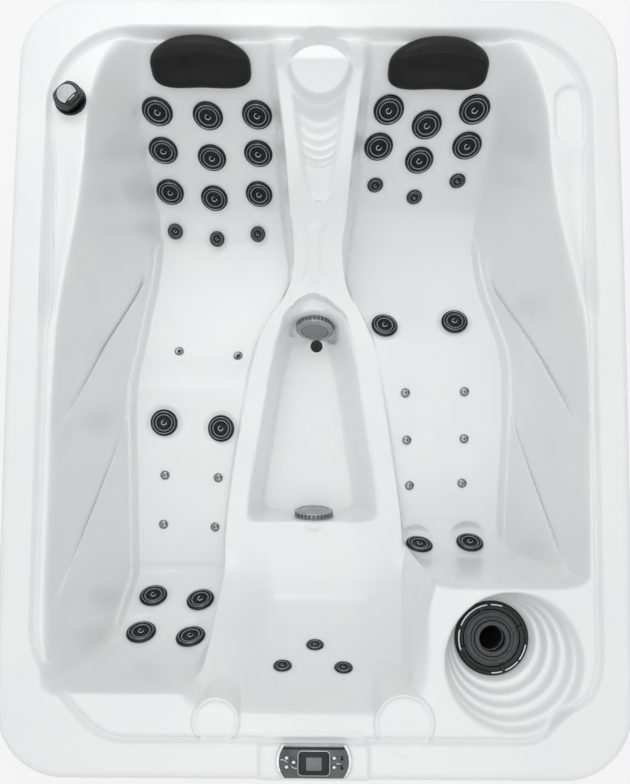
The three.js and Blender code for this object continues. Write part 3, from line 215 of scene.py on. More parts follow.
def revolve(profile, turns=64, reach=None):
    # point (i, k) = (r_i cos a_k, r_i sin a_k, z_i); with reach(a), the radius is reach(a_k) - r_i instead
    profile = np.asarray(profile, float)
    first, last = profile[0, 0] == 0 and reach is None, profile[-1, 0] == 0 and reach is None
    if reach is not None:
        first, last = profile[0, 0] == middle, profile[-1, 0] == middle
    ring = not first and np.allclose(profile[0], profile[-1])
    rows = profile[int(first):len(profile) - int(last or ring)]
    angle = np.arange(turns) * 2 * np.pi / turns
    radius = rows[:, :1] + 0 * angle if reach is None else reach(angle) - rows[:, :1]
    points = [radius * np.cos(angle), radius * np.sin(angle), rows[:, 1:] + 0 * angle]
    points = np.stack(points, -1).reshape(-1, 3)
    faces = gridFaces(len(rows), turns, ring, True).tolist()
    k = np.arange(turns)
    if first:
        points = np.vstack([points, [[0, 0, profile[0, 1]]]])
        faces += np.stack([np.full(turns, len(points) - 1), (k + 1) % turns, k], -1).tolist()
    if last:
        points = np.vstack([points, [[0, 0, profile[-1, 1]]]])
        top = (len(rows) - 1) * turns
        faces += np.stack([top + k, top + (k + 1) % turns, np.full(turns, len(points) - 1)], -1).tolist()
    return points, faces


def softProfile(profile, corner=0.8, steps=4):
    # a corner p becomes (1 - t)^2 a + 2 t (1 - t) p + t^2 b, with a and b up to corner mm along its sides
    p = np.asarray(profile, float)
    here = p[1:-1]

    def toward(other):
        side = other - here
        length = np.maximum(np.linalg.norm(side, axis=1, keepdims=True), 1e-9)
        return here + side * np.minimum(corner / length, 0.45)
    a, b = toward(p[:-2])[:, None], toward(p[2:])[:, None]
    t = np.linspace(0, 1, steps)[None, :, None]
    curved = (1 - t) ** 2 * a + 2 * t * (1 - t) * here[:, None] + t ** 2 * b
    return np.vstack([p[:1], curved.reshape(-1, 2), p[-1:]])


def rippled(start, end, pitch, high):
    # a straight run of profile with z raised by high * sin(2 pi s / pitch) over its length s
    start, end = np.array(start, float), np.array(end, float)
    length = np.linalg.norm(end - start)
    s = np.linspace(0, 1, max(int(length / pitch * 6), 2))[:, None]
    run = start + (end - start) * s
    run[:, 1] += high * np.sin(2 * np.pi * s[:, 0] * round(length / pitch))
    return run.tolist()


def turnedTo(normal):
    # the shortest turn from +Z to n = (a, b, c), whose columns are the images of X, Y and Z
    a, b, c = normal
    k = 1 / (1 + c)
    return np.array([[1 - a * a * k, -a * b * k, a], [-a * b * k, 1 - b * b * k, b], [-a, -b, c]])


def put(part, place, normal=(0, 0, 1)):
    # each point P becomes place + turn P, where the turn takes +Z to the normal
    points, faces = part
    return points @ turnedTo(normal).T + np.asarray(place, float), faces


def turned(profile, turns, place, normal=(0, 0, 1), corner=0.8, steps=4, size=1.0):
    # a profile with softened corners, revolved, scaled by size and put at a place along a normal
    points, faces = revolve(softProfile(profile, corner, steps), turns)
    return put((points * size, faces), place, normal)


def carried(path, section, capped=True):
    # P + p side + q up for each path point P, with side across the path and up kept from turning
    path, section = np.asarray(path, float), np.asarray(section, float)
    along = np.gradient(path, axis=0)
    along /= np.linalg.norm(along, axis=1, keepdims=True)
    helper = [0, 0, 1.0] if abs(along[0][2]) < 0.9 else [1.0, 0, 0]
    ups = [np.cross(along[0], np.cross(helper, along[0]))]
    for step in along[1:]:
        ups.append(ups[-1] - step * np.dot(ups[-1], step))
    up = np.array(ups)
    up /= np.linalg.norm(up, axis=1, keepdims=True)
    side = np.cross(along, up)
    points = path[:, None] + section[None, :, :1] * side[:, None] + section[None, :, 1:] * up[:, None]
    points = points.reshape(-1, 3)
    count = len(section)
    faces = gridFaces(len(path), count, False, True).tolist()
    if capped:
        faces += [list(range(count)), list(range(len(points) - 1, len(points) - 1 - count, -1))]
    return points, faces


def ringSection(radius, count=20):
    # point k = radius (cos a, sin a) with a = -2 pi k / count
    angle = -np.arange(count) * 2 * np.pi / count
    return np.stack([radius * np.cos(angle), radius * np.sin(angle)], -1)


def pipeThrough(stops, radius, steps):
    # a round pipe along straight runs between the stops, each run with its own steps
    runs = [np.linspace(a, b, steps)[:-1] for a, b in zip(stops[:-1], stops[1:])]
    return carried(np.vstack(runs + [stops[-1:]]), ringSection(radius))


# the shell's shape: the same curves as the solid model's

tub = {"length": 2160, "width": 1690, "height": 800, "corner": 190, "swell": 10}
basin = {"depth": 565, "well": 692, "wall": 14, "minBack": 42, "lean": 78}
lip = {"drop": 62, "bottom": 65, "round": 34, "thick": 26, "seat": 30, "groove": 11, "grooveWide": 14}
crease = {"at": 13, "wide": 6.5, "deep": 12, "under": 45, "fade": 20}
halfLong, halfWide = tub["length"] / 2, tub["width"] / 2

leftEdgeShares = [(0.907, -0.663), (0.833, -0.722), (0.741, -0.757), (0.556, -0.775), (0.417, -0.791),
                  (0.278, -0.819), (0.139, -0.843), (0, -0.852), (-0.278, -0.854), (-0.861, -0.854)]
rightEdgeShares = [(0.907, 0.663), (0.833, 0.716), (0.741, 0.753), (0.556, 0.772), (0.417, 0.793),
                   (0.278, 0.834), (0.139, 0.87), (0, 0.882), (-0.278, 0.878), (-0.861, 0.87)]
leftInnerShares = [(0.907, -0.116), (0.806, -0.109), (0.685, -0.092), (0.556, -0.071), (0.463, -0.053),
                   (0.37, -0.071), (0.306, -0.118), (0.231, -0.172), (0.139, -0.204), (0, -0.234),
                   (-0.148, -0.266), (-0.278, -0.291), (-0.417, -0.31), (-0.556, -0.332),
                   (-0.694, -0.342), (-0.861, -0.36)]
rightInnerShares = [(0.907, 0.123), (0.806, 0.116), (0.685, 0.099), (0.556, 0.076), (0.463, 0.059),
                    (0.37, 0.076), (0.306, 0.114), (0.231, 0.156), (0.139, 0.185), (0, 0.218),
                    (-0.148, 0.249), (-0.278, 0.275), (-0.37, 0.291), (-0.463, 0.31), (-0.519, 0.355)]
wellHalfShares = [(0.356, 0), (0.344, 0.045), (0.309, 0.104), (0.242, 0.147), (0.142, 0.182), (0.01, 0.211),
                  (-0.154, 0.241), (-0.284, 0.267), (-0.389, 0.279)]
crestShares = [(0.903, 0.014), (0.833, 0.124), (0.806, 0.159), (0.741, 0.23), (0.648, 0.345),
               (0.602, 0.425), (0.556, 0.513), (0.463, 0.664), (0.37, 0.779), (0.278, 0.846),
               (0.185, 0.864), (-0.278, 0.864), (-0.389, 0.867), (-0.481, 0.857), (-0.556, 0.779),
               (-0.611, 0.655), (-0.667, 0.496), (-0.722, 0.336), (-0.778, 0.186), (-0.824, 0.071),
               (-0.861, 0)]
leftFloorShares = [(0.906, 0), (0.88, 0.08), (0.833, 0.239), (0.801, 0.381), (0.745, 0.611),
                   (0.687, 0.818), (0.648, 0.917), (0.602, 0.97), (0.519, 1), (0.426, 0.995),
                   (0.278, 0.97), (0.176, 0.947), (0.102, 0.906), (0.046, 0.878), (-0.061, 0.896),
                   (-0.237, 0.947), (-0.398, 0.984), (-0.519, 1.016), (-0.555, 1.023), (-0.579, 0.991),
                   (-0.616, 0.906), (-0.667, 0.782), (-0.718, 0.658), (-0.741, 0.584), (-0.761, 0.46),
                   (-0.776, 0.283), (-0.783, 0.106), (-0.789, 0.018), (-0.794, 0)]
rightFloorShares = [(0.906, 0), (0.88, 0.08), (0.833, 0.239), (0.801, 0.363), (0.745, 0.575),
                    (0.696, 0.752), (0.659, 0.867), (0.611, 0.947), (0.556, 0.986), (0.481, 0.995),
                    (0.37, 0.97), (0.278, 0.917), (0.185, 0.864), (0.139, 0.853), (0.093, 0.867),
                    (0.041, 0.89), (-0.116, 0.938), (-0.264, 0.973), (-0.361, 1.002), (-0.407, 1.005),
                    (-0.428, 0.995), (-0.463, 0.912), (-0.483, 0.832), (-0.498, 0.673), (-0.507, 0.442),
                    (-0.515, 0.23), (-0.524, 0.088), (-0.535, 0.014), (-0.542, 0)]
nearFloorShares = [(-0.3, 0.8), (-0.37, 0.86), (-0.444, 0.885), (-0.519, 0.899), (-0.593, 0.89),
                   (-0.639, 0.85), (-0.676, 0.758), (-0.713, 0.611), (-0.75, 0.442), (-0.787, 0.265),
                   (-0.815, 0.124), (-0.838, 0.021), (-0.847, 0)]

band = {"left": 755, "right": 763, "near": 978, "far": 977, "round": 235, "cutLeft": 742, "cutNear": 776,
        "cutTurn": (0.768, 0.64), "soft": 60}
bite = {"x": 800, "y": -1085, "radius": 226, "soft": 20}
ends = {"far": 978, "near": 925, "shelfNear": 560, "shelfFrom": 235, "shelfWide": 95,
        "shelfRise": 365, "soft": 150, "footNear": 870, "footFrom": 300, "footWide": 80, "footRise": 75}
seatBowl = {"left": 285, "right": 318, "far": 340, "blend": 110, "wide": 150, "soft": 70}
lounger = {"hollow": 26, "edge": 8, "innerLean": 66, "innerLess": 4, "footLess": 20,
           "footFrom": 450, "footWide": 150, "backFrom": 350, "backWide": 200, "soft": 90, "endSteep": 1.5}
well = {"x": -8, "near": 422, "far": 388, "soft": 60, "blend": 14, "wide": 86, "leftSteep": 2,
        "nearSteep": 1.7, "farSteep": 1.3, "archSteep": 0.35, "archWide": 46, "rim": 485.9}
pool = {"x": 3, "y": 862, "radius": 118, "deep": 60, "wide": 20, "soft": 8,
        "lensNear": 855, "lensNearRadius": 110, "lensFar": 929, "lensFarRadius": 101,
        "lensHigh": 26, "lensWide": 14}
chute = {"x": 2, "far": 868, "near": 618, "top": 86, "nose": 0.3, "ribsFrom": 690, "deep": 28,
         "wide": 24, "ribs": 4.5, "pitch": 1.6, "bow": 150, "fade": 16}
bowl = {"x": 528, "y": -765, "radius": 192, "lip": 40, "lipWide": 22, "ringX": 509,
        "ringY": -733, "ringRadius": 120, "terraces": 4, "drop": 30, "dropWide": 16}
platforms = [(-258, -919, 62), (236, -923, 78)]
platform = {"dip": 9, "rise": 4, "rim": 6, "rimWide": 8, "steep": 6, "soft": 12}
island = {"half": 150, "far": 938, "round": 46, "high": 12, "wide": 16}
boss = {"x": -686, "y": 759, "radius": 50, "high": 10, "wide": 10}
pocket = {"left": 654, "right": 758, "near": 640, "far": 828, "round": 51, "deep": 12, "wide": 14, "fade": 60}
folds = {"rise": 1.3, "first": -139, "firstWide": 170, "firstHigh": 9, "second": -612, "secondWide": 190,
         "secondHigh": 8, "sharp": 0.3, "top": 60, "base": 519.8, "baseWide": 120, "far": 640, "farWide": 200}
# finer than the solid model's forms: hollow side ledges, benches at the walls' feet, the saddle's lines
hollow = {"deep": 26, "rise": 0.75, "fall": 0.2, "left": 90, "right": 126, "start": 120, "far": 700,
          "fade": 150}
bench = {"share": 0.94, "reach": 0.98, "edge": 0.12, "far": 640, "left": -800, "right": -520, "fade": 90}
saddle = {"x": -10, "y": 490, "waist": 22, "flare": 14, "long": 70, "deep": 4, "wide": 5,
          "ridge": 5, "ridgeWide": 14, "far": 575, "near": 395, "fade": 30}


def ease(v):
    # 3 t^2 - 2 t^3 for t = v kept between 0 and 1
    t = np.clip(v, 0, 1)
    return t * t * (3 - 2 * t)


def softMax(a, b, k):
    # max(a, b), rounded over a width k where they cross
    h = np.clip(0.5 + 0.5 * (a - b) / np.maximum(k, 1e-6), 0, 1)
    return b + (a - b) * h + k * h * (1 - h)


def softMin(a, b, k):
    # min(a, b), rounded the same way
    return -softMax(-a, -b, k)


def deeper(a, b, k):
    # the deeper of two depths, rounded where they cross and left alone where both are level with the rim
    return np.where(a + b > 0, softMax(a, b, np.clip(a + b, 0, k)), np.maximum(a, b))


def through(shares, placeScale, valueScale):
    # cubic between neighbours h00 a + h10 s0 + h01 b + h11 s1, with slopes weighted by the neighbouring steps
    points = np.array(sorted(shares), float) * [placeScale, valueScale]
    place, value = points.T
    step = np.diff(place)
    rate = np.diff(value) / step
    inside = (rate[:-1] * step[1:] + rate[1:] * step[:-1]) / (step[:-1] + step[1:])
    slope = np.concatenate([rate[:1], inside, rate[-1:]])

    def at(v):
        v = np.clip(v, place[0], place[-1])
        i = np.clip(np.searchsorted(place, v, side="right") - 1, 0, len(step) - 1)
        t = (v - place[i]) / step[i]
        return (value[i] * (1 + 2 * t) * (1 - t) ** 2 + value[i + 1] * t * t * (3 - 2 * t)
                + step[i] * (slope[i] * t * (1 - t) ** 2 + slope[i + 1] * t * t * (t - 1)))
    return at


leftEdge, rightEdge, leftInner, rightInner, wellHalf = (
    through(shares, halfLong, halfWide)
    for shares in (leftEdgeShares, rightEdgeShares, leftInnerShares, rightInnerShares, wellHalfShares))
crest, leftFloor, rightFloor, nearFloor = (
    through(shares, halfLong, basin["depth"])
    for shares in (crestShares, leftFloorShares, rightFloorShares, nearFloorShares))


def inBox(x, y, x0, x1, y0, y1, r):
    # distance inside a box with corners of radius r
    qx, qy = np.abs(x - (x0 + x1) / 2) - (x1 - x0) / 2 + r, np.abs(y - (y0 + y1) / 2) - (y1 - y0) / 2 + r
    return r - np.hypot(np.maximum(qx, 0), np.maximum(qy, 0)) - np.minimum(np.maximum(qx, qy), 0)


def inCircle(x, y, cx, cy, r):
    # distance inside a circle: r - sqrt((x - cx)^2 + (y - cy)^2)
    return r - np.hypot(x - cx, y - cy)


def foldShift(y, depth):
    # two folds high exp(-(q / wide)^2) that climb the side walls, q = y - rise depth - place
    f = folds
    one = lambda q, wide: np.exp(-(q / np.where(q > 0, wide, wide * f["sharp"])) ** 2)
    fade = ease(depth / f["top"]) * ease((f["base"] - depth) / f["baseWide"])
    fade = fade * ease((f["far"] - y) / f["farWide"])
    return fade * (f["firstHigh"] * one(y - f["rise"] * depth - f["first"], f["firstWide"])
                   + f["secondHigh"] * one(y - f["rise"] * depth - f["second"], f["secondWide"]))


def loungerDepth(y, wallGap, innerGap, endGap, floor, innerLean):
    # floor profile times ease(edge / lean), with a hollow of (1 - side^2) between wall and inner edge
    k = lounger
    lean = innerLean - k["innerLess"] * ease((y - k["backFrom"]) / k["backWide"])
    inner = innerGap * (basin["lean"] / lean)
    edge = softMin(softMin(wallGap, inner, k["soft"]), endGap, k["soft"])
    side = (innerGap - wallGap) / (innerGap + wallGap)
    deep = floor + (k["hollow"] * (1 - side ** 2) - k["edge"]) * ease((floor - lip["drop"]) / k["backWide"])
    first = deep * ease(edge / basin["lean"])
    return deep * ease((edge + foldShift(y, first)) / basin["lean"])


def rimStep(x, y):
    # distance inside the line of the rim's step: a round-cornered box with one corner cut and one bitten
    step = inBox(x, y, -band["left"], band["right"], -band["near"], band["far"], band["round"])
    turnX, turnY = band["cutTurn"]
    step = softMin(step, (x + band["cutLeft"]) * turnX + (y + band["cutNear"]) * turnY, band["soft"])
    return softMin(step, -inCircle(x, y, bite["x"], bite["y"], bite["radius"]), bite["soft"])


def tubDepth(x, y):
    # depth of the moulded surface below the rim at any place in plan
    rim = lip["groove"] * ease(rimStep(x, y) / lip["grooveWide"])

    wallLeft, wallRight = leftEdge(y), rightEdge(y)
    nearEnd = (-ends["near"] + ends["shelfRise"] * ease((x - ends["shelfFrom"]) / ends["shelfWide"])
               + ends["footRise"] * ease((-x - ends["footFrom"]) / ends["footWide"]))
    sides = np.minimum(x - wallLeft, wallRight - x)
    gap = softMin(sides, np.minimum(ends["far"] - y, y - nearEnd), ends["soft"])
    depth = crest(y) * ease(gap / basin["lean"])

    innerLeft, innerRight = leftInner(y), rightInner(y)
    toFoot = ease((-lounger["footFrom"] - y) / lounger["footWide"])
    footLean = lounger["innerLean"] - lounger["footLess"] * toFoot
    leftEnd = y + ends["footNear"] + lounger["soft"] / 2
    rightEnd = (y + ends["shelfNear"] + lounger["soft"] / 2) * lounger["endSteep"]
    left = loungerDepth(y, x - wallLeft, innerLeft - x, leftEnd, leftFloor(y), footLean)
    right = loungerDepth(y, wallRight - x, x - innerRight, rightEnd, rightFloor(y), lounger["innerLean"])
    across = softMin(x + seatBowl["left"], seatBowl["right"] - x, seatBowl["soft"])
    seat = np.maximum(nearFloor(y) - depth, 0)
    depth = depth + seat * ease(across / seatBowl["wide"]) * ease((-seatBowl["far"] - y) / seatBowl["blend"])
    for other in (left, right):
        depth = deeper(depth, other, lounger["hollow"])

    half = wellHalf(y)
    wellSides = softMin((x - well["x"] + half) * well["leftSteep"], well["x"] + half - x, well["soft"] / 2)
    fromFar = well["far"] - y
    farEnd = softMax(fromFar * well["archSteep"], (fromFar - well["archWide"]) * well["farSteep"],
                     well["blend"])
    wellEnds = softMin((y + well["near"]) * well["nearSteep"], farEnd, well["soft"] / 2)
    inWell = softMin(wellSides, wellEnds, well["soft"])
    sunk = well["rim"] + (basin["well"] - well["rim"]) * ease(inWell / well["wide"])
    depth = np.where(inWell > 0, softMax(depth, sunk, well["blend"]), depth)

    inPool = inCircle(x, y, pool["x"], pool["y"], pool["radius"])
    depth = deeper(depth, pool["deep"] * ease(inPool / pool["wide"]), pool["soft"])
    lens = np.minimum(inCircle(x, y, pool["x"], pool["lensNear"], pool["lensNearRadius"]),
                      inCircle(x, y, pool["x"], pool["lensFar"], pool["lensFarRadius"]))
    depth = depth - pool["lensHigh"] * ease(lens / pool["lensWide"])
    down = np.clip((y - chute["near"]) / (chute["far"] - chute["near"]), 0, 1)
    channel = np.minimum(chute["top"] * down ** chute["nose"] - np.abs(x - chute["x"]), -lens)
    past = np.maximum(y - (x - chute["x"]) ** 2 / chute["bow"] - chute["ribsFrom"], 0)
    wave = np.sin(np.sqrt(past) * 2 * np.pi / chute["pitch"])
    depth = depth + (chute["deep"] - chute["ribs"] * wave * ease(past / chute["fade"])) \
        * ease(channel / chute["wide"]) * ease((chute["far"] - y) / chute["wide"])

    terrace = bowl["lip"] * ease(inCircle(x, y, bowl["x"], bowl["y"], bowl["radius"]) / bowl["lipWide"])
    for k in range(1, bowl["terraces"] + 1):
        share = k / bowl["terraces"]
        cx = bowl["x"] + (bowl["ringX"] - bowl["x"]) * share
        cy = bowl["y"] + (bowl["ringY"] - bowl["y"]) * share
        radius = bowl["radius"] + (bowl["ringRadius"] - bowl["radius"]) * share
        terrace = terrace + bowl["drop"] * ease(inCircle(x, y, cx, cy, radius) / bowl["dropWide"])
    depth = deeper(np.maximum(depth, terrace), rim, bowl["dropWide"])

    for px, py, radius in platforms:
        away = np.hypot(x - px, y - py)
        onTop = ease((radius - platform["rim"] - away) / platform["rimWide"])
        top = platform["dip"] * onTop + platform["rise"]
        depth = softMin(depth, top + np.maximum(away - radius, 0) * platform["steep"], platform["soft"])
    onIsland = inBox(x, y, -island["half"], island["half"], -tub["length"], -island["far"], island["round"])
    depth = depth - island["high"] * ease(onIsland / island["wide"])
    depth = depth - boss["high"] * ease(inCircle(x, y, boss["x"], boss["y"], boss["radius"]) / boss["wide"])
    inPocket = inBox(x, y, pocket["left"], pocket["right"], pocket["near"], pocket["far"], pocket["round"])
    return depth + pocket["deep"] * ease((y - pocket["near"]) / pocket["fade"]) \
        * ease(inPocket / pocket["wide"])


# where the fittings sit: shares of the half width and half length, as in the solid model

largeRows = {"left_back_jet": [(-0.5967, 0.805), (-0.4126, 0.8017), (-0.2285, 0.8014), (-0.6092, 0.7548),
                               (-0.4229, 0.747), (-0.2368, 0.7513), (-0.6187, 0.6887), (-0.4381, 0.6798),
                               (-0.2472, 0.6864)],
             "right_back_jet": [(0.2584, 0.8069), (0.5732, 0.8082), (0.4076, 0.7898), (0.2345, 0.7574),
                                (0.5763, 0.7608), (0.401, 0.7404)],
             "right_thigh_jet": [(0.2871, 0.2668), (0.5879, 0.2847)],
             "left_calf_jet": [(-0.64, -0.0644), (-0.4001, -0.0825)],
             "right_foot_jet": [(0.4339, -0.4559), (0.65, -0.45)],
             "left_foot_jet": [(-0.6662, -0.6254), (-0.469, -0.6346), (-0.6703, -0.716),
                               (-0.4748, -0.7239)]}
smallRows = {
    "left_lumbar_jets": [(-0.6205, 0.5962), (-0.4409, 0.5773), (-0.2618, 0.591)],
    "right_lumbar_jets": [(0.2357, 0.6981), (0.4044, 0.6798), (0.5705, 0.7073)],
    "seat_back_jets": [(-0.1119, -0.7668), (0.001, -0.7307), (0.1006, -0.769)]}
injectorRows = {"left_air_injectors": [(-0.5906, 0.1806), (-0.3357, 0.1639), (-0.413, -0.2437),
                                       (-0.64, -0.2361), (-0.6482, -0.3994), (-0.427, -0.4069)],
                "right_air_injectors": [(0.3733, 0.0386), (0.623, 0.0447), (0.6279, -0.1085),
                                        (0.3835, -0.1148), (0.3981, -0.2648), (0.6234, -0.2554)]}
suctionRows = {"far_suction_cover": [(-0.0083, 0.2841)], "near_suction_cover": [(-0.0081, -0.3677)]}
drainRows = {"floor_drain": [(-0.0016, 0.2332)]}
seats = {"probe": 34, "suctionProbe": 20, "core": 4, "fade": 26, "groove": 6, "grooveWide": 15}
landingRadius = {"large": 52.5, "small": 31, "injector": 22, "suction": 76.9, "drain": 26}


def landing(x, y, p=seats["probe"]):
    # plane through the weighted mean of five depths p apart, with the slopes between opposite ones
    here, east, west = tubDepth(x, y), tubDepth(x + p, y), tubDepth(x - p, y)
    north, south = tubDepth(x, y + p), tubDepth(x, y - p)
    slopeX, slopeY = float((east - west) / (2 * p)), float((north - south) / (2 * p))
    deep = float((here * 2 + east + west + north + south) / 6)
    normal = np.array([slopeX, slopeY, 1]) / math.sqrt(slopeX ** 2 + slopeY ** 2 + 1)
    return {"x": x, "y": y, "deep": deep, "slope": (slopeX, slopeY), "normal": normal,
            "place": np.array([x, y, tub["height"] - deep])}


def spotsOf(rows, probe=seats["probe"]):
    # a landing for each (x, y) share of each row
    return {name: [landing(np.float64(x * halfWide), np.float64(y * halfLong), probe) for x, y in shares]
            for name, shares in rows.items()}


largeSpots, smallSpots, injectorSpots, drainSpots = (
    spotsOf(rows) for rows in (largeRows, smallRows, injectorRows, drainRows))
suctionSpots = spotsOf(suctionRows, seats["suctionProbe"])
kinds = {"large": largeSpots, "small": smallSpots, "injector": injectorSpots, "suction": suctionSpots,
         "drain": drainSpots}
flats = [(spot, landingRadius[kind]) for kind, rows in kinds.items() for row in rows.values() for spot in row]


def relief(x, y):
    # tubDepth with a crease at the rim's step, hollow ledges, benches at the walls' feet and saddle lines
    depth = tubDepth(x, y)
    line = crease["deep"] * np.exp(-((rimStep(x, y) - crease["at"]) / crease["wide"]) ** 2)
    extra = line * ease((crease["under"] - depth) / crease["fade"])
    shift = foldShift(y, depth)
    for gap, ledge, floor, side in ((x - leftEdge(y), leftEdge(y) + band["left"], leftFloor(y), "left"),
                                    (rightEdge(y) - x, band["right"] - rightEdge(y), rightFloor(y), "right")):
        t = -gap / ledge
        extra = extra + hollow["deep"] * ease(t / hollow["rise"]) * ease((1 - t) / hollow["fall"]) \
            * ease((y - hollow[side]) / hollow["start"]) * ease((hollow["far"] - y) / hollow["fade"])
        window = 1 - ease(((gap + shift) / basin["lean"] - bench["reach"]) / bench["edge"])
        along = ease((bench["far"] - y) / bench["fade"]) * ease((y - bench[side]) / bench["fade"])
        extra = extra - np.maximum(depth - bench["share"] * floor, 0) * window * along
    away = x - saddle["x"]
    half = saddle["waist"] + saddle["flare"] * ((y - saddle["y"]) / saddle["long"]) ** 2
    lines = saddle["deep"] * np.exp(-((np.abs(away) - half) / saddle["wide"]) ** 2) \
        - saddle["ridge"] * np.exp(-(away / saddle["ridgeWide"]) ** 2)
    return depth + extra + lines * ease((saddle["far"] - y) / saddle["fade"]) \
        * ease((y - saddle["near"]) / saddle["fade"])


def shellDepth(x, y):
    # the relief eased to each fitting's plane near it, with a shallow groove round the fitting
    depth = relief(x, y)
    for spot, radius in flats:
        slopeX, slopeY = spot["slope"]
        plane = spot["deep"] + slopeX * (x - spot["x"]) + slopeY * (y - spot["y"])
        plane = np.minimum(plane, basin["well"])
        away = np.sqrt((x - spot["x"]) ** 2 + (y - spot["y"]) ** 2 + (depth - spot["deep"]) ** 2)
        depth = depth + (plane - depth) * (1 - ease((away - radius - seats["core"]) / seats["fade"]))
        if radius > landingRadius["drain"]:
            depth = depth + seats["groove"] * (1 - ease((away - radius + 1) / seats["grooveWide"]))
    return depth


def boxReach(angle, halfX, halfY, corner):
    # reach of a round-cornered box in a direction: its corner's circle, or the nearer side
    c, s = np.abs(np.cos(angle)), np.abs(np.sin(angle))
    ax, ay = halfX - corner, halfY - corner
    along = c * ax + s * ay
    bent = along + np.sqrt(np.maximum(along ** 2 - (ax ** 2 + ay ** 2 - corner ** 2), 0))
    flat = np.minimum(halfX / np.maximum(c, 1e-9), halfY / np.maximum(s, 1e-9))
    return np.where((bent * c > ax) & (bent * s > ay), bent, flat)


def bow(y):
    # how far the long sides bow out: 1 + swell / half width (1 - (y / half length)^2)
    return 1 + tub["swell"] / halfWide * (1 - (y / halfLong) ** 2)


def outlinePoint(angle, inset):
    # the outline moved in by inset, with its long sides bowed out by 1 - (y / half)^2
    reach = boxReach(angle, halfWide - inset, halfLong - inset, tub["corner"] - inset)
    y = reach * np.sin(angle)
    return reach * np.cos(angle) * bow(y), y


shellLook = {"coarse": (65, 83), "fine": (480, 620), "back": (150, 190), "backGap": 3,
             "backSteep": 6, "rounds": 120, "pull": 0.45, "corners": 6, "lipSteps": 9, "bowlHole": 86}


def relaxedPlan():
    # a grid in plan whose points move to the length-weighted mean of their neighbours, so walls get faces
    nx, ny = shellLook["coarse"]
    u, v = np.meshgrid(np.linspace(-1, 1, nx), np.linspace(-1, 1, ny))
    x, y = u * (halfWide - lip["round"]), v * (halfLong - lip["round"])
    level = np.maximum(np.abs(u), np.abs(v))
    ex, ey = outlinePoint(np.arctan2(v * halfLong, u * halfWide), lip["round"])
    share = level ** shellLook["corners"]
    x, y = x * (1 - share) + ex * level * share, y * (1 - share) + ey * level * share
    for _ in range(shellLook["rounds"]):
        points = np.stack([x, y, tubDepth(x, y)], -1)
        across = np.linalg.norm(np.diff(points, axis=1), axis=-1)
        along = np.linalg.norm(np.diff(points, axis=0), axis=-1)
        west, east, south, north = across[1:-1, :-1], across[1:-1, 1:], along[:-1, 1:-1], along[1:, 1:-1]
        total = west + east + south + north
        for grid in (x, y):
            mean = (west * grid[1:-1, :-2] + east * grid[1:-1, 2:]
                    + south * grid[:-2, 1:-1] + north * grid[2:, 1:-1]) / total
            grid[1:-1, 1:-1] += shellLook["pull"] * (mean - grid[1:-1, 1:-1])
    return x, y


def finer(values, nx, ny):
    # linear interpolation of a grid to nx by ny points
    rows, columns = values.shape
    wide = np.array([np.interp(np.linspace(0, columns - 1, nx), np.arange(columns), row) for row in values])
    return np.array([np.interp(np.linspace(0, rows - 1, ny), np.arange(rows), column) for column in wide.T]).T


def onOutline(x, y, inset):
    # the border of the grid put back on the outline, and its angles there
    edge = np.zeros(x.shape, bool)
    edge[[0, -1], :] = edge[:, [0, -1]] = True
    angle = np.arctan2(y, x / bow(y))
    ex, ey = outlinePoint(angle, inset)
    return np.where(edge, ex, x), np.where(edge, ey, y), angle


def loopOf(nx, ny):
    # corner numbers round the border, anticlockwise from the near left
    index = np.arange(nx * ny).reshape(ny, nx)
    return np.concatenate([index[0, :-1], index[:-1, -1], index[-1, :0:-1], index[:0:-1, 0]])


planX, planY = relaxedPlan()


def meanNormals(points, faces):
    # the unit sum of the cross products of each face's diagonals at its corners
    across = np.cross(points[faces[:, 2]] - points[faces[:, 0]], points[faces[:, 3]] - points[faces[:, 1]])
    total = np.zeros_like(points)
    for corner in range(4):
        for axis in range(3):
            total[:, axis] += np.bincount(faces[:, corner], across[:, axis], len(points))
    return total / np.maximum(np.linalg.norm(total, axis=1, keepdims=True), 1e-9)


def sheetPiece(name, points, faces, normals, gone=()):
    # some faces of a larger surface, with that surface's normals, so that no seam shows between the pieces
    used, numbers = np.unique(faces, return_inverse=True)
    piece = makeMesh(name, [(points[used], numbers.reshape(faces.shape).tolist())], acrylic,
                     "tub", gone)
    piece.data.normals_split_custom_set_from_vertices(normals[used].tolist())


def openSheet(x, y, depth):
    # points (x, y, height - depth), their grid's faces, and which of those lie clear of the filter's hole
    points = np.stack([x, y, tub["height"] - depth], -1).reshape(-1, 3)
    faces = gridFaces(*x.shape)
    hole = np.hypot(points[:, 0] - bowl["ringX"], points[:, 1] - bowl["ringY"]) < shellLook["bowlHole"]
    return points, faces, ~hole[faces].any(axis=1)


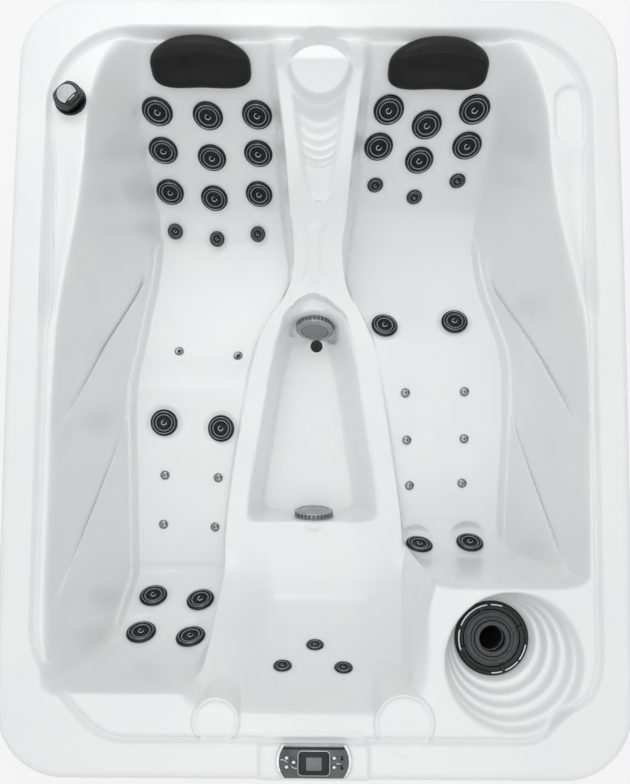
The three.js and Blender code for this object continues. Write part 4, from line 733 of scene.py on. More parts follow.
def buildShell():
    # z = height - shellDepth(x, y) on the relaxed grid in four quarters, then the lip and the backing
    nx, ny = shellLook["fine"]
    x, y, angle = onOutline(finer(planX, nx, ny), finer(planY, nx, ny), lip["round"])
    points, faces, kept = openSheet(x, y, shellDepth(x, y))
    row, column = np.divmod(np.arange(len(faces)), nx - 1)
    quarter = (row >= ny // 2) * 2 + (column >= nx // 2)
    faces, quarter = faces[kept], quarter[kept]
    loop = loopOf(nx, ny)
    # rolled lip: a quarter ellipse out and down to the drop, then folded under and up inside
    turn = np.linspace(0, np.pi / 2, shellLook["lipSteps"])[1:]
    start = tub["height"] - points[loop, 2]
    rings = [(lip["round"] * (1 - math.sin(a)), start + (lip["drop"] - start) * (1 - math.cos(a)))
             for a in turn]
    # inset and depth of each ring of the fold under the lip
    under = [(0.6, 64), (2.5, lip["bottom"]), (14, lip["bottom"]), (lip["thick"], lip["bottom"]), (29, 63),
             (lip["seat"], 60), (lip["seat"], basin["minBack"]), (38, basin["minBack"] - 1)]
    rings += [(inset, np.full(len(loop), float(deep))) for inset, deep in under]
    around = np.array([np.stack([*outlinePoint(angle.ravel()[loop], inset), tub["height"] - deep], -1)
                       for inset, deep in rings])
    size = len(points)
    points = np.vstack([points, around.reshape(-1, 3)])
    rows = np.vstack([loop[None], size + np.arange(len(rings) * len(loop)).reshape(len(rings), -1)])
    lower, ahead = rows[1:], np.roll(rows, -1, axis=1)
    lipFaces = np.stack([rows[:-1], lower, ahead[1:], ahead[:-1]], -1).reshape(-1, 4)
    normals = meanNormals(points, np.vstack([faces, lipFaces]))
    for number, name in enumerate(("near_left", "near_right", "far_left", "far_right")):
        gone = ["shell"] if number == 0 else ()
        sheetPiece("shell_" + name, points, faces[quarter == number], normals, gone)
    sheetPiece("shell_lip", points, lipFaces, normals)

    # the backing under it: front depth + wall sqrt(1 + slope^2)
    nx, ny = shellLook["back"]
    x, y, angle = onOutline(finer(planX, nx, ny), finer(planY, nx, ny), lip["round"])
    p = basin["wall"]
    riseX = tubDepth(x + p, y) - tubDepth(x - p, y)
    riseY = tubDepth(x, y + p) - tubDepth(x, y - p)
    steep = np.minimum(np.hypot(1, np.hypot(riseX, riseY) / (2 * p)), shellLook["backSteep"])
    back = np.maximum(tubDepth(x, y), shellDepth(x, y)) + p * steep + shellLook["backGap"]
    back = np.maximum(np.minimum(back, basin["well"] + p), basin["minBack"])
    points, faces, kept = openSheet(x, y, back)
    makeMesh("shell_backing", [(points, faces[kept][:, ::-1].tolist())], glassFibre, "tub")


buildShell()
print("shell made")

# jets

jetLook = {"radius": 47.5, "deep": 60, "barrel": 25, "turns": 72, "sink": -1.6,
           "collar": [(47.5, -1.6), (47.5, 1.0), (46.6, 2.6), (44, 5.2), (41.6, 6.8), (40.6, 4.5),
                      (40.4, 1.5), (0, 1.5)],
           "ring": [(35.8, 2), (40.3, 2), (40.3, 6.6), (39.4, 8), (37.8, 8.4), (36.2, 6.8), (35.8, 2)],
           "step": [(26, 3), (30, 3), (30, 4.9), (28.6, 5.7), (26.6, 5), (26, 3)],
           "dishFrom": (35.6, 5), "dishTo": (13, 1.2), "dishPitch": 5.6, "dishRipple": 0.8,
           "dishBack": 0.2, "dishMiddle": [(12.6, 1.0), (0, 1.0)], "nozzleTurns": 40,
           "nozzle": [(0, 0.4), (12.6, 0.4), (12.6, 1.2), (11.4, 1.0), (10.6, 3.6), (9, 4.6), (7, 4.2),
                      (5.4, 1.6), (4.6, -1), (0, -1.6)],
           "breakAt": 62, "breakWide": 5, "breakDrop": 2.4,
           # the nozzle's U-shaped highlight, painted as a chrome arc open at one side
           "paintedNozzleGlint": [(7, 4.2), (9.5, 4.2), (9.5, 5.2), (8.3, 5.9), (7, 5.2), (7, 4.2)],
           "paintedNozzleGlintArc": (100, 370)}


def arcPiece(section, start, end, steps=36):
    # a closed section (r, z) carried round the arc from start to end degrees
    angle = np.radians(np.linspace(start, end, steps))[:, None]
    r, z = np.asarray(section[:-1], float).T
    points = np.stack([r * np.cos(angle), r * np.sin(angle), z + 0 * angle], -1).reshape(-1, 3)
    count = len(section) - 1
    faces = gridFaces(steps, count, False, True)[:, ::-1].tolist()
    faces += [list(range(count)), list(range(len(points) - 1, len(points) - 1 - count, -1))]
    return points, faces


def ringWithBreak(k, size):
    # the bright ring, lowered by drop exp(-((a - breakAt) / breakWide)^2) where it has its small break
    points, faces = revolve(softProfile(k["ring"], 1.1, 4), k["turns"])
    angle = np.degrees(np.arctan2(points[:, 1], points[:, 0]))
    away = (angle - k["breakAt"] + 180) % 360 - 180
    points[:, 2] = np.maximum(points[:, 2] - k["breakDrop"] * np.exp(-(away / k["breakWide"]) ** 2), 2)
    return points * size, faces


def makeJet(name, spot, body, gone, size=1.0, deep=jetLook["deep"]):
    # every part is turned about the spot's normal, at size times the large jet's measures
    k = jetLook
    at = spot["place"], spot["normal"]
    barrel = [(0, -deep / size), (k["barrel"], -deep / size), (k["barrel"], k["sink"])]
    makeMesh(name + "_collar", [turned(barrel + k["collar"], k["turns"], *at, 1.0, 4, size)],
             blackAbs, body, gone)
    makeMesh(name + "_ring", [put(ringWithBreak(k, size), *at)], ringSteel, body)
    makeMesh(name + "_step", [turned(k["step"], k["turns"], *at, 0.6, 3, size)], boxAbs, body)
    # a chrome arc over the nozzle: painted highlight standing in for the nozzle's U-shaped shine
    points, faces = arcPiece(softProfile(k["paintedNozzleGlint"], 0.5, 3), *k["paintedNozzleGlintArc"])
    makeMesh(name + "_painted_nozzle_glint", [put((points * size, faces), *at)], platedAbs, body)
    dish = [(0, k["dishBack"]), (k["dishFrom"][0], k["dishBack"]), k["dishFrom"]]
    dish += rippled(k["dishFrom"], k["dishTo"], k["dishPitch"], k["dishRipple"])[1:]
    points, faces = revolve(dish + k["dishMiddle"], k["turns"])
    makeMesh(name + "_dish", [put((points * size, faces), *at)], greyAbs, body)
    makeMesh(name + "_nozzle", [turned(k["nozzle"], k["nozzleTurns"], *at, 0.8, 4, size)],
             blackAbs, body)


for rowName, row in largeSpots.items():
    for number, spot in enumerate(row, 1):
        makeJet(f"{rowName}_{number}", spot, f"{rowName}_{number}", [f"{rowName}_{number}"])

smallLook = {"size": 27.5 / jetLook["radius"], "deep": 48, "pipe": 8, "pipeSteps": 8}
for rowName, row in smallSpots.items():
    for number, spot in enumerate(row, 1):
        makeJet(f"{rowName}_{number}", spot, "tub", [rowName] if number == 1 else (),
                smallLook["size"], smallLook["deep"])
    stops = [spot["place"] - spot["normal"] * smallLook["deep"] for spot in row]
    pipe = pipeThrough(stops, smallLook["pipe"], smallLook["pipeSteps"])
    makeMesh(rowName + "_air_pipe", [pipe], whitePvc, "tub")
print("jets made")

# air injectors

injectorLook = {"deep": 52, "stem": 9, "pipe": 8, "pipeSteps": 10, "detour": (-0.52, -0.075),
                "cap": [(9, -0.6), (17, -0.6), (17, 1.4), (15.6, 4.6), (12.4, 7.6), (8, 9.4), (0, 10)],
                "cup": [(9, -0.6), (17, -0.6), (17, 2.4), (15.8, 4.2), (14.2, 4.4), (12.8, 2.6),
                        (10, 1.4), (0, 1)],
                "eye": [(0, 8.6), (3.2, 8.6), (3, 10.6), (0, 11)],
                "cupEye": [(0, 0.6), (7.4, 0.6), (6.8, 3), (4, 4.6), (0, 5)],
                # the slot is a black arc on one side of each domed cap: a painted dark reflection on the
                # chrome
                "slot": [(9.4, 6), (12.4, 6), (12.8, 8), (9.6, 9.6), (9.4, 6)], "paintedReflectionArc": (-5, 42),
                "cups": 2}
for rowName, row in injectorSpots.items():
    caps = []
    eyesAndReflections = []
    for number, spot in enumerate(row):
        cupped = rowName.startswith("left") and number < injectorLook["cups"]
        profile = [(0, -injectorLook["deep"]), (injectorLook["stem"], -injectorLook["deep"])]
        profile += injectorLook["cup" if cupped else "cap"]
        eye = injectorLook["cupEye" if cupped else "eye"]
        at = spot["place"], spot["normal"]
        caps.append(turned(profile, 48, *at, 1.2, 4))
        eyesAndReflections.append(turned(eye, 32, *at, 0.6, 3))
        # black arc on the domed cap's side: painted dark reflection, not a slot
        if not cupped:
            eyesAndReflections.append(put(arcPiece(injectorLook["slot"], *injectorLook["paintedReflectionArc"], 10), *at))
    makeMesh(rowName + "_caps", caps, stainless, "tub", [rowName])
    makeMesh(rowName + "_eyes_and_painted_reflections", eyesAndReflections, blackAbs, "tub")
    stops = [spot["place"] - spot["normal"] * injectorLook["deep"] for spot in row]
    if rowName.startswith("left"):
        side = landing(np.float64(injectorLook["detour"][0] * halfWide),
                       np.float64(injectorLook["detour"][1] * halfLong))
        stops.insert(2, side["place"] - side["normal"] * injectorLook["deep"])
    pipe = pipeThrough(stops, injectorLook["pipe"], injectorLook["pipeSteps"])
    makeMesh(rowName + "_pipe", [pipe], whitePvc, "tub")

# suction covers and drain

suctionLook = {"turns": 96, "posts": 30, "post": (64.5, 69.6, 3.4, 3, 17.4),
               "ripple": ((47.6, 25.7), (6, 26.6), 5.2, 0.4), "middle": (0, 26.8),
               "base": [(0, -52), (28, -52), (28, -1.6), (70, -1.6), (70, 2.6), (68.6, 3.6), (62, 3.6),
                        (62, 18), (0, 18)],
               "cap": [(60, 17), (70, 17), (70, 20), (68.4, 22.4), (56, 26.8), (52.4, 27.8), (50.8, 27),
                       (50.2, 24), (50.2, 17), (60, 17)],
               "disc": [(0, 17.5), (49.6, 17.5), (49.6, 24.6), (48, 25.6)]}


def postPart(angle, inner, outer, wide, low, high):
    # an upright block between two radii, turned to an angle
    plan = (inner, -1), (outer, -1), (outer, 1), (inner, 1)
    points = np.array([(r, side * wide / 2, z) for z in (low, high) for r, side in plan])
    faces = [(3, 2, 1, 0), (4, 5, 6, 7), (0, 1, 5, 4), (1, 2, 6, 5), (2, 3, 7, 6), (3, 0, 4, 7)]
    c, s = math.cos(angle), math.sin(angle)
    return points @ np.array([(c, s, 0), (-s, c, 0), (0, 0, 1)]), faces


for name, (spot,) in suctionSpots.items():
    k = suctionLook
    at = spot["place"], spot["normal"]
    makeMesh(name + "_base", [turned(k["base"], k["turns"], *at, 0.8, 3)], boxAbs, "tub",
             [name])
    makeMesh(name + "_cap", [turned(k["cap"], k["turns"], *at, 1.0, 4)], silverAbs, "tub")
    posts = [put(postPart(n * 2 * np.pi / k["posts"], *k["post"]), *at) for n in range(k["posts"])]
    makeMesh(name + "_posts", posts, silverAbs, "tub").data.shade_flat()
    disc = k["disc"] + rippled(*k["ripple"]) + [k["middle"]]
    # the same face in silver-lacquered ABS on the near cover and in grey on the far one: lit and shaded
    # copies, painted light and shade
    face = silverAbs if name.startswith("near") else boxAbs
    makeMesh(name + "_disc", [put(revolve(disc, k["turns"]), *at)], face, "tub")

drainLook = {"turns": 64, "bar": 1.6, "bars": 4, "barReach": 17.4, "barHigh": 3.0,
             "rim": [(0, -31), (10, -31), (10, -0.8), (23, -0.8), (23, 2.4), (21.6, 3.8), (19, 4),
                     (17.6, 2.4), (0, 2.4)]}
spot = drainSpots["floor_drain"][0]
makeMesh("floor_drain_rim", [turned(drainLook["rim"], drainLook["turns"], spot["place"], spot["normal"])],
         blackAbs, "tub", ["floor_drain"])
bars = []
for turn in range(drainLook["bars"]):
    angle = math.pi / drainLook["bars"] * turn
    ray = np.array([math.cos(angle), math.sin(angle), 0])
    along = np.linspace(-drainLook["barReach"], drainLook["barReach"], 12)[:, None]
    path = along * ray + [0, 0, drainLook["barHigh"]]
    bars.append(put(carried(path, ringSection(drainLook["bar"], 12)), spot["place"], spot["normal"]))
makeMesh("floor_drain_grid", bars, blackAbs, "tub")
print("injectors, covers and drain made")

# filter

filterLook = {"floor": 640, "turns": 128,
              "ring": [(82, 0.4), (107, 0.4), (107, 3), (105, 6), (101, 8.5), (99.4, 11.4), (96, 12.2),
                       (93.6, 11.2), (92.6, 7), (84, 5.4), (82, 4.6), (82, 0.4)],
              "paintedHighlights": [(94.2, 11), (98.4, 11), (98.2, 12.4), (96.2, 13), (94.4, 12.4), (94.2, 11)],
              "arcs": [(98, 158), (165, 200), (72, 92), (292, 318), (322, 350), (268, 286)],
              "lid": [(37, -12), (80, -12), (80, 2), (79, 4.6), (75, 5.4), (73.4, 8), (64, 9.4),
                      (62.4, 7.2), (60.6, 7.2), (59.4, 11), (54.4, 11.8), (53, 10), (52.4, 6), (50.8, 6),
                      (50.2, 12.4), (48.8, 14), (40, 14.6), (38, 13.8), (37, 11), (37, -12)],
              "tabs": [110, 20, 200, 290], "tabSize": (22, 13, 3.2), "tabRadius": 90, "tabHigh": 9,
              "core": 37, "tube": (36.6, 34, 3), "cartridge": 66, "low": -245.7, "high": -13.7,
              "endRing": 8, "pleats": 60, "pleatDeep": 9}
filterPlace = (bowl["ringX"], bowl["ringY"], filterLook["floor"])
makeMesh("skimmer_trim", [turned(filterLook["ring"], filterLook["turns"], filterPlace, corner=1.2)],
         blackAbs, "tub", ["skimmer_ring"])
# chrome arcs along the crest of the black ring, at the angles where it shines: painted highlights
paintedHighlightSection = softProfile(filterLook["paintedHighlights"], 0.5, 3)
paintedHighlights = [put(arcPiece(paintedHighlightSection, a, b), filterPlace) for a, b in filterLook["arcs"]]
makeMesh("skimmer_painted_highlight_arcs", paintedHighlights, platedAbs, "tub")


def tabPart(angle, radius, long, wide, high):
    # a low block whose faces bulge: superellipsoid |x / a|^4 + |y / b|^4 + |z / c|^4 = 1
    polar, around = np.linspace(-np.pi / 2, np.pi / 2, 17), np.arange(32) * 2 * np.pi / 32
    polar, around = np.meshgrid(polar, around, indexing="ij")
    power = lambda v: np.sign(v) * np.abs(v) ** 0.5
    x = long / 2 * power(np.cos(polar)) * power(np.cos(around))
    y = wide / 2 * power(np.cos(polar)) * power(np.sin(around))
    z = high * power(np.sin(polar))
    c, s = math.cos(math.radians(angle)), math.sin(math.radians(angle))
    points = np.stack([(radius + x) * c - y * s, (radius + x) * s + y * c, z], -1)
    return points.reshape(-1, 3), gridFaces(17, 32, False, True).tolist()


tabs = []
for angle in filterLook["tabs"]:
    points, faces = tabPart(angle, filterLook["tabRadius"], *filterLook["tabSize"])
    tabs.append(put((points + [0, 0, filterLook["tabHigh"]], faces), filterPlace))
makeMesh("skimmer_tabs", tabs, blackAbs, "tub")
makeMesh("filter_lid_disc", [turned(filterLook["lid"], filterLook["turns"], filterPlace, corner=0.9)],
         lidAbs, "filter", ["filter_lid"])


def pleatedTube():
    # outer radius R - deep |((pleats a / pi) mod 2) - 1|, closed by end rings at the core
    k = filterLook
    low, high, end = k["low"], k["high"], k["endRing"]
    outside = [(k["cartridge"], z) for z in (low, low + end, low + end + 1, high - end - 1, high - end, high)]
    points, faces = revolve([(k["core"], low)] + outside + [(k["core"], high), (k["core"], low)],
                            k["pleats"] * 4)
    angle = np.arctan2(points[:, 1], points[:, 0])
    fold = np.abs((k["pleats"] * angle / np.pi) % 2 - 1) * k["pleatDeep"]
    inPleats = (np.abs(points[:, 2] - (low + high) / 2) < (high - low) / 2 - end - 0.5) \
        & (np.hypot(points[:, 0], points[:, 1]) > (k["core"] + k["cartridge"]) / 2)
    scale = np.where(inPleats, 1 - fold / k["cartridge"], 1)
    return points * np.stack([scale, scale, np.ones_like(scale)], -1), faces


makeMesh("filter_cartridge_pleats", [put(pleatedTube(), filterPlace)], filterPaper, "filter",
         ["filter_cartridge"])
outer, inner, base = filterLook["tube"]
low, high = filterLook["low"], filterLook["high"]
core = revolve([(outer, low), (outer, high), (inner, high), (inner, low + base), (0, low + base),
                (0, low)], 64)
makeMesh("filter_cartridge_core", [put(core, filterPlace)], blackAbs, "filter")
print("filter made")

# diverter knob

knobLook = {"seat": 799, "radius": 40, "flat": 33.5, "flatTurn": 135, "bulge": 0.75, "turns": 144,
            "collar": [(0, -150), (34, -150), (34, -60), (20, -60), (20, 0.4), (44, 0.4), (44, 4),
                       (42.6, 5.8), (0, 5.9)],
            "body": [(middle, 6.4), (0.6, 6.4), (0, 7.2), (0, 22), (1.4, 25.4), (5, 27), (10, 26.6),
                     (middle, 26.4)],
            "cap": [(0, 26), (27, 26), (27, 29), (25.8, 30), (0, 30.3)],
            "ring": [(27.6, 26), (30.4, 26), (30.4, 28.2), (29, 29), (27.6, 28.2), (27.6, 26)],
            "edge": [(3.4, 5.9), (-0.4, 5.9), (-0.4, 20), (1.2, 24.6), (3.4, 26.8), (4.4, 26.6),
                     (3.4, 5.9)],
            "turn": -42, "grip": (23, 18, 46, 6), "gripHigh": 26.4,
            "glint": (21, 2.4, 22, 1.6), "glintHigh": 31.6}
knobPlace = (boss["x"], boss["y"], knobLook["seat"])


def knobReach(angle):
    # a circle with two bulged flats: min(radius, flat / cos(bulge (angle - flatTurn)))
    away = np.degrees(angle) - knobLook["flatTurn"]
    away = (away + 90) % 180 - 90
    across = np.maximum(np.cos(np.radians(away * knobLook["bulge"])), 0.2)
    return np.minimum(knobLook["radius"], knobLook["flat"] / across)


makeMesh("diverter_collar", [turned(knobLook["collar"], 72, knobPlace)], blackAbs, "tub",
         ["diverter_valve"])
makeMesh("diverter_knob_body", [put(revolve(knobLook["body"], knobLook["turns"], knobReach), knobPlace)],
         lidAbs, "diverter_knob", ["diverter_knob"])
makeMesh("diverter_knob_edge", [put(revolve(knobLook["edge"], knobLook["turns"], knobReach), knobPlace)],
         blackAbs, "diverter_knob")
makeMesh("diverter_knob_cap", [turned(knobLook["cap"], 96, knobPlace)], satinAbs,
         "diverter_knob")
makeMesh("diverter_knob_ring", [turned(knobLook["ring"], 96, knobPlace, corner=0.6, steps=3)], blackAbs,
         "diverter_knob")
# the glint is a thin chrome strip laid on the black grip: a painted highlight
for kind, finish, slot in (("grip", blackAbs, "black_plastic"), ("glint", platedAbs, "grey_plastic")):
    points, faces = tabPart(knobLook["turn"], *knobLook[kind])
    part = put((points + [0, 0, knobLook[kind + "High"]], faces), knobPlace)
    makeMesh("diverter_knob_" + kind, [part], finish, "diverter_knob")
print("knob made")

# rim control panel

panelLook = {"x": 0, "y": -1009, "top": 821, "halfWide": 43, "edge": 83, "bulge": 15,
             "filmInset": 1.6, "filmShort": 8, "bezel": (40, 30, 10), "bezelLine": 1.6,
             "bezelY": -4, "screen": (19.7, 16.4, 2), "screenY": -1,
             "bands": [(40, 79, 2.8, "light"), (33.6, 80, 3, "dark")],
             "lines": [[(-86, 4), (-80, 5.4), (-74, 3), (-68, -1)],
                       [(-59, -9), (-54, -14), (-48, -16), (-43, -16)],
                       [(57, -3), (62, -5), (67, -4)]], "line": 1.1,
             "buttons": [(-70, 9), (-70, -14), (-52, -2), (52, 9), (52, -14), (72, 9), (72, -14)],
             "hole": 5.4, "holeFrom": -5, "holeTo": 9, "bandCorner": 1, "button": 4.4,
             "brightButtons": 5}
# (inset, z) across each plate from its middle to its edge and back
plateProfiles = {"trim": [(middle, -8.6), (0.6, -8.6), (0, -8), (0, -2), (0.8, -0.8), (2, -0.3),
                          (middle, -0.3)],
                 "film": [(middle, -4), (0, -4), (0, -0.4), (0.5, 0), (middle, 0)],
                 "band": [(middle, -0.2), (0, -0.2), (0, 0.3), (0.4, 0.6), (middle, 0.6)],
                 "bezel_line": [(middle, -1), (0, -1), (0, 0.4), (0.5, 0.8), (middle, 0.8)],
                 "bezel": [(middle, -0.8), (0, -0.8), (0, 1.2), (1.2, 2), (middle, 2)],
                 "screen": [(middle, 0), (0, 0), (0, 2.1), (0.6, 2.4), (middle, 2.4)]}


def barrelReach(angle, halfY, edge, bulge):
    # flat long sides y = halfY and ends that are arcs bulging out past edge
    radius = (halfY ** 2 + bulge ** 2) / (2 * bulge)
    centre = edge + bulge - radius
    c, s = np.abs(np.cos(angle)), np.abs(np.sin(angle))
    arc = c * centre + np.sqrt(np.maximum((c * centre) ** 2 - centre ** 2 + radius ** 2, 0))
    return np.minimum(arc, halfY / np.maximum(s, 1e-9))


def makePlate(name, kind, reach, place, material, slot, gone=()):
    # a plate whose edge lies at reach(a) - inset, from the inset and z of its kind's profile
    part = put(revolve(plateProfiles[kind], 160, reach), place)
    return makeMesh("panel_" + name, [part], material, "tub", gone)


def cutBy(piece, cutter):
    # the piece less the cutter, with the result kept in its mesh
    modifier = piece.modifiers.new("holes", "BOOLEAN")
    modifier.operation, modifier.object, modifier.solver = "DIFFERENCE", cutter, "EXACT"
    bpy.context.view_layer.update()
    mesh = bpy.data.meshes.new_from_object(piece.evaluated_get(bpy.context.evaluated_depsgraph_get()))
    piece.modifiers.remove(modifier)
    mesh.name = piece.name
    piece.data = mesh
    bpy.data.objects.remove(cutter)


def cutterOf(parts):
    # a plain object of the parts, for cutBy to take away
    cutter = bpy.data.objects.new("cutter", joined("cutter", parts))
    bpy.context.scene.collection.objects.link(cutter)
    return cutter


panelPlace = (panelLook["x"], panelLook["y"], panelLook["top"])
k = panelLook
trimReach = lambda a: barrelReach(a, k["halfWide"], k["edge"], k["bulge"])
filmReach = lambda a: barrelReach(a, k["halfWide"] - k["filmInset"], k["edge"] - k["filmShort"], k["bulge"])
trimPiece = makePlate("trim", "trim", trimReach, panelPlace, platedAbs, "chrome", ["control_panel"])
filmPiece = makePlate("film", "film", filmReach, panelPlace, panelFilm, "black_plastic")
bandFinish = {"light": (silverAbs, "grey_plastic"), "dark": (blackAbs, "black_plastic")}
for y, half, tall, tone in k["bands"]:
    makePlate(tone + "_band", "band", lambda a: boxReach(a, half, tall, k["bandCorner"]),
              np.add(panelPlace, (0, y, 0)), *bandFinish[tone])
lines = []
for curve in panelLook["lines"]:
    path = np.array([np.add(panelPlace, (x, y, 0.3)) for x, y in curve])
    steps = np.linspace(0, len(path) - 1, 12)
    path = np.stack([np.interp(steps, np.arange(len(path)), column) for column in path.T], -1)
    lines.append(carried(path, ringSection(panelLook["line"], 12)))
makeMesh("panel_curved_lines", lines, platedAbs, "tub")
hole = revolve([(0, k["holeFrom"]), (k["hole"], k["holeFrom"]), (k["hole"], k["holeTo"]), (0, k["holeTo"])],
               32)
holes = [put(hole, np.add(panelPlace, (x, y, 0))) for x, y in k["buttons"]]
cutBy(trimPiece, cutterOf(holes))
cutBy(filmPiece, cutterOf(holes))
bezelPlace = np.add(panelPlace, (0, k["bezelY"], 0))
makePlate("bezel_line", "bezel_line", lambda a: boxReach(a, *np.add(k["bezel"], k["bezelLine"])), bezelPlace,
          platedAbs, "chrome")
makePlate("bezel", "bezel", lambda a: boxReach(a, *k["bezel"]), bezelPlace, blackAbs, "black_plastic")
makePlate("screen", "screen", lambda a: boxReach(a, *k["screen"]), np.add(bezelPlace, (0, k["screenY"], 0)),
          displayGlass, "grey_plastic")
for number, (x, y) in enumerate(panelLook["buttons"], 1):
    profile = [(0, -3.6), (4.2, -3.6), (k["button"], -0.2), (3.6, 0.7), (2, 1.1), (0, 1.2)]
    name = f"panel_button_{number}"
    makeMesh(name + "_dome", [turned(profile, 32, np.add(panelPlace, (x, y, 0)), corner=0.6, steps=3)],
             platedAbs if number <= k["brightButtons"] else greyAbs, name, [name])
print("panel made")

# pillows: moulded foam, crowned, with a raised band along the top and a hollow lower edge

pillowLook = {"spots": {"left_pillow": (-0.408, 0.856), "right_pillow": (0.413, 0.856)}, "long": 292,
              "tall": 134, "thick": 40, "bow": 20, "clear": 1.3, "pinch": 0.08, "probe": 60,
              "corners": 3.2, "turns": 160, "crown": (0.2, 0.72, 7, 0.6),
              "band": (0.08, 0.6, 0.1, 0.07, 0.2), "dish": (0.14, 0.1, 0.42, 0.75)}


def pillowBack(u, v):
    # x = long u (1 - pinch v^4) / 2 and y = tall v (1 - pinch u^4) / 2 + bow (1 - u^2)
    k = pillowLook
    x = k["long"] / 2 * u * (1 - k["pinch"] * v ** 4)
    y = k["tall"] / 2 * v * (1 - k["pinch"] * u ** 4) + k["bow"] * (1 - u * u)
    return x, y


def pillowPart(spot):
    # u, v = rho R(a) (cos a, sin a) with R = (|cos|^n + |sin|^n)^(-1/n)
    # z = lift under it, and lift + thick (edge + rise (1 - rho^flat)^rounded + ridge - dish) on its face
    k = pillowLook
    near, far = (float(tubDepth(spot["x"], spot["y"] + step)) for step in (-k["probe"], k["probe"]))
    slopeY = (far - near) / (2 * k["probe"])
    normal = np.array([0, slopeY, 1]) / math.hypot(1, slopeY)
    u, v = np.meshgrid(np.arange(-1, 1.01, 0.2), np.arange(-1, 1.01, 0.4))
    x, y = pillowBack(u, v)
    back, _ = put((np.stack([x, y, 0 * x], -1).reshape(-1, 3), []), spot["place"], normal)
    above = tub["height"] - tubDepth(back[:, 0], back[:, 1]) - back[:, 2]
    lift = float(np.max(above * normal[2])) + k["clear"]
    under = np.concatenate([[0], np.linspace(0.2, 0.96, 8), [0.985, 1]])
    over = np.concatenate([[1, 0.99], 1 - np.linspace(0.025, 0.95, 44), [0]])
    rho = np.concatenate([under, over])
    face = np.concatenate([0 * under, 0 * over + 1])
    points, faces = revolve(np.stack([rho, face], -1), k["turns"])
    rho = np.hypot(points[:, 0], points[:, 1])
    angle = np.arctan2(points[:, 1], points[:, 0])
    n = k["corners"]
    reach = (np.abs(np.cos(angle)) ** n + np.abs(np.sin(angle)) ** n) ** (-1 / n)
    u, v = rho * reach * np.cos(angle), rho * reach * np.sin(angle)
    x, y = pillowBack(u, v)
    edge, rise, flat, rounded = k["crown"]
    crown = edge + rise * np.clip(1 - rho ** flat, 0, 1) ** rounded
    high, at, bend, wide, fade = k["band"]
    ridge = high * np.exp(-((v - at + bend * u * u) / wide) ** 2) * ease((1 - rho) / fade)
    deep, at, tall, wide = k["dish"]
    dish = -deep * np.exp(-((v + at) / tall) ** 2 - (u / wide) ** 4)
    z = lift + k["thick"] * np.where(points[:, 2] > 0.5, crown + ridge + dish, 0)
    return put((np.stack([x, y, z], -1), faces), spot["place"], normal)


for name, (shareX, shareY) in pillowLook["spots"].items():
    spot = landing(np.float64(shareX * halfWide), np.float64(shareY * halfLong))
    pillow = makeMesh(name + "_foam", [pillowPart(spot)], foamSkin, "tub", [name])
print("pillows made")

# grip rings on the footwell floor

gripLook = {"radius": 8.5, "section": [(-1.1, -0.3), (1.1, -0.3), (0.5, 0.5), (-0.5, 0.5), (-1.1, -0.3)],
            "pitch": 44, "rowPitch": 0.87, "y": -50, "rows": 4, "columns": 3, "left": 62, "right": 88}
grips = []
for row in range(-gripLook["rows"], gripLook["rows"] + 1):
    for column in range(-gripLook["columns"], gripLook["columns"] + 1):
        x = well["x"] + (column + 0.5 * (row % 2)) * gripLook["pitch"]
        y = gripLook["y"] + row * gripLook["pitch"] * gripLook["rowPitch"]
        half = float(wellHalf(y))
        if well["x"] - half + gripLook["left"] < x < well["x"] + half - gripLook["right"]:
            part = revolve([(gripLook["radius"] + out, z) for out, z in gripLook["section"]], 24)
            deep = float(shellDepth(np.float64(x), np.float64(y)))
            grips.append(put(part, (x, y, tub["height"] - deep)))
makeMesh("footwell_grip_rings", grips, acrylic, "tub")

# cabinet: planks with grooves between them

cabinetLook = {"outX": 809, "outY": 1044, "corner": 154, "wall": 12, "low": 14.3, "high": 757.7,
               "door": 589.5, "doorTop": 734.4, "planks": 5, "groove": 7, "grooveDeep": 3,
               "doorGap": 0.3, "sharp": 30}


def plankSection(top):
    # (offset, z) round the wall: the outer face steps in by grooveDeep at each joint between planks
    k = cabinetLook
    rows = [(-k["wall"], top), (-k["wall"], k["low"]), (0, k["low"])]
    step = (k["high"] - k["low"]) / k["planks"]
    for n in range(1, k["planks"]):
        z = k["low"] + n * step
        rows += [(0, z - k["groove"] / 2 - 1), (-k["grooveDeep"], z - k["groove"] / 2 + 1),
                 (-k["grooveDeep"], z + k["groove"] / 2 - 1), (0, z + k["groove"] / 2 + 1)]
    return np.array(rows + [(0, top)], float)


def wallPart(path, outward, section):
    # the section carried along a path in plan: P + offset n, with n the outward normal
    points = np.empty((len(path), len(section), 3))
    points[..., :2] = path[:, None] + section[None, :, :1] * outward[:, None]
    points[..., 2] = section[:, 1]
    count = len(section)
    faces = gridFaces(len(path), count, False, True)[:, ::-1].tolist()
    faces += [list(range(count)), list(range(len(path) * count - 1, (len(path) - 1) * count - 1, -1))]
    return points.reshape(-1, 3), faces


def skirtPath():
    # from the doorway's right edge anticlockwise round four corners to its left edge
    k = cabinetLook
    cx, cy = k["outX"] - k["corner"], k["outY"] - k["corner"]
    parts, normals = [np.array([[k["door"], -k["outY"]]])], [np.array([[0.0, -1.0]])]
    for centre, start in (((cx, -cy), -90), ((cx, cy), 0), ((-cx, cy), 90), ((-cx, -cy), 180)):
        angle = np.radians(np.linspace(start, start + 90, 13))
        ray = np.stack([np.cos(angle), np.sin(angle)], -1)
        parts.append(np.array(centre) + k["corner"] * ray)
        normals.append(ray)
    parts.append(np.array([[-k["door"], -k["outY"]]]))
    normals.append(np.array([[0.0, -1.0]]))
    return np.vstack(parts), np.vstack(normals)


def straightWall(half, section):
    # the section along the near side, from -half to half
    path = np.stack([np.linspace(-half, half, 9), np.full(9, -float(cabinetLook["outY"]))], -1)
    return wallPart(path, np.tile([0.0, -1.0], (9, 1)), section)


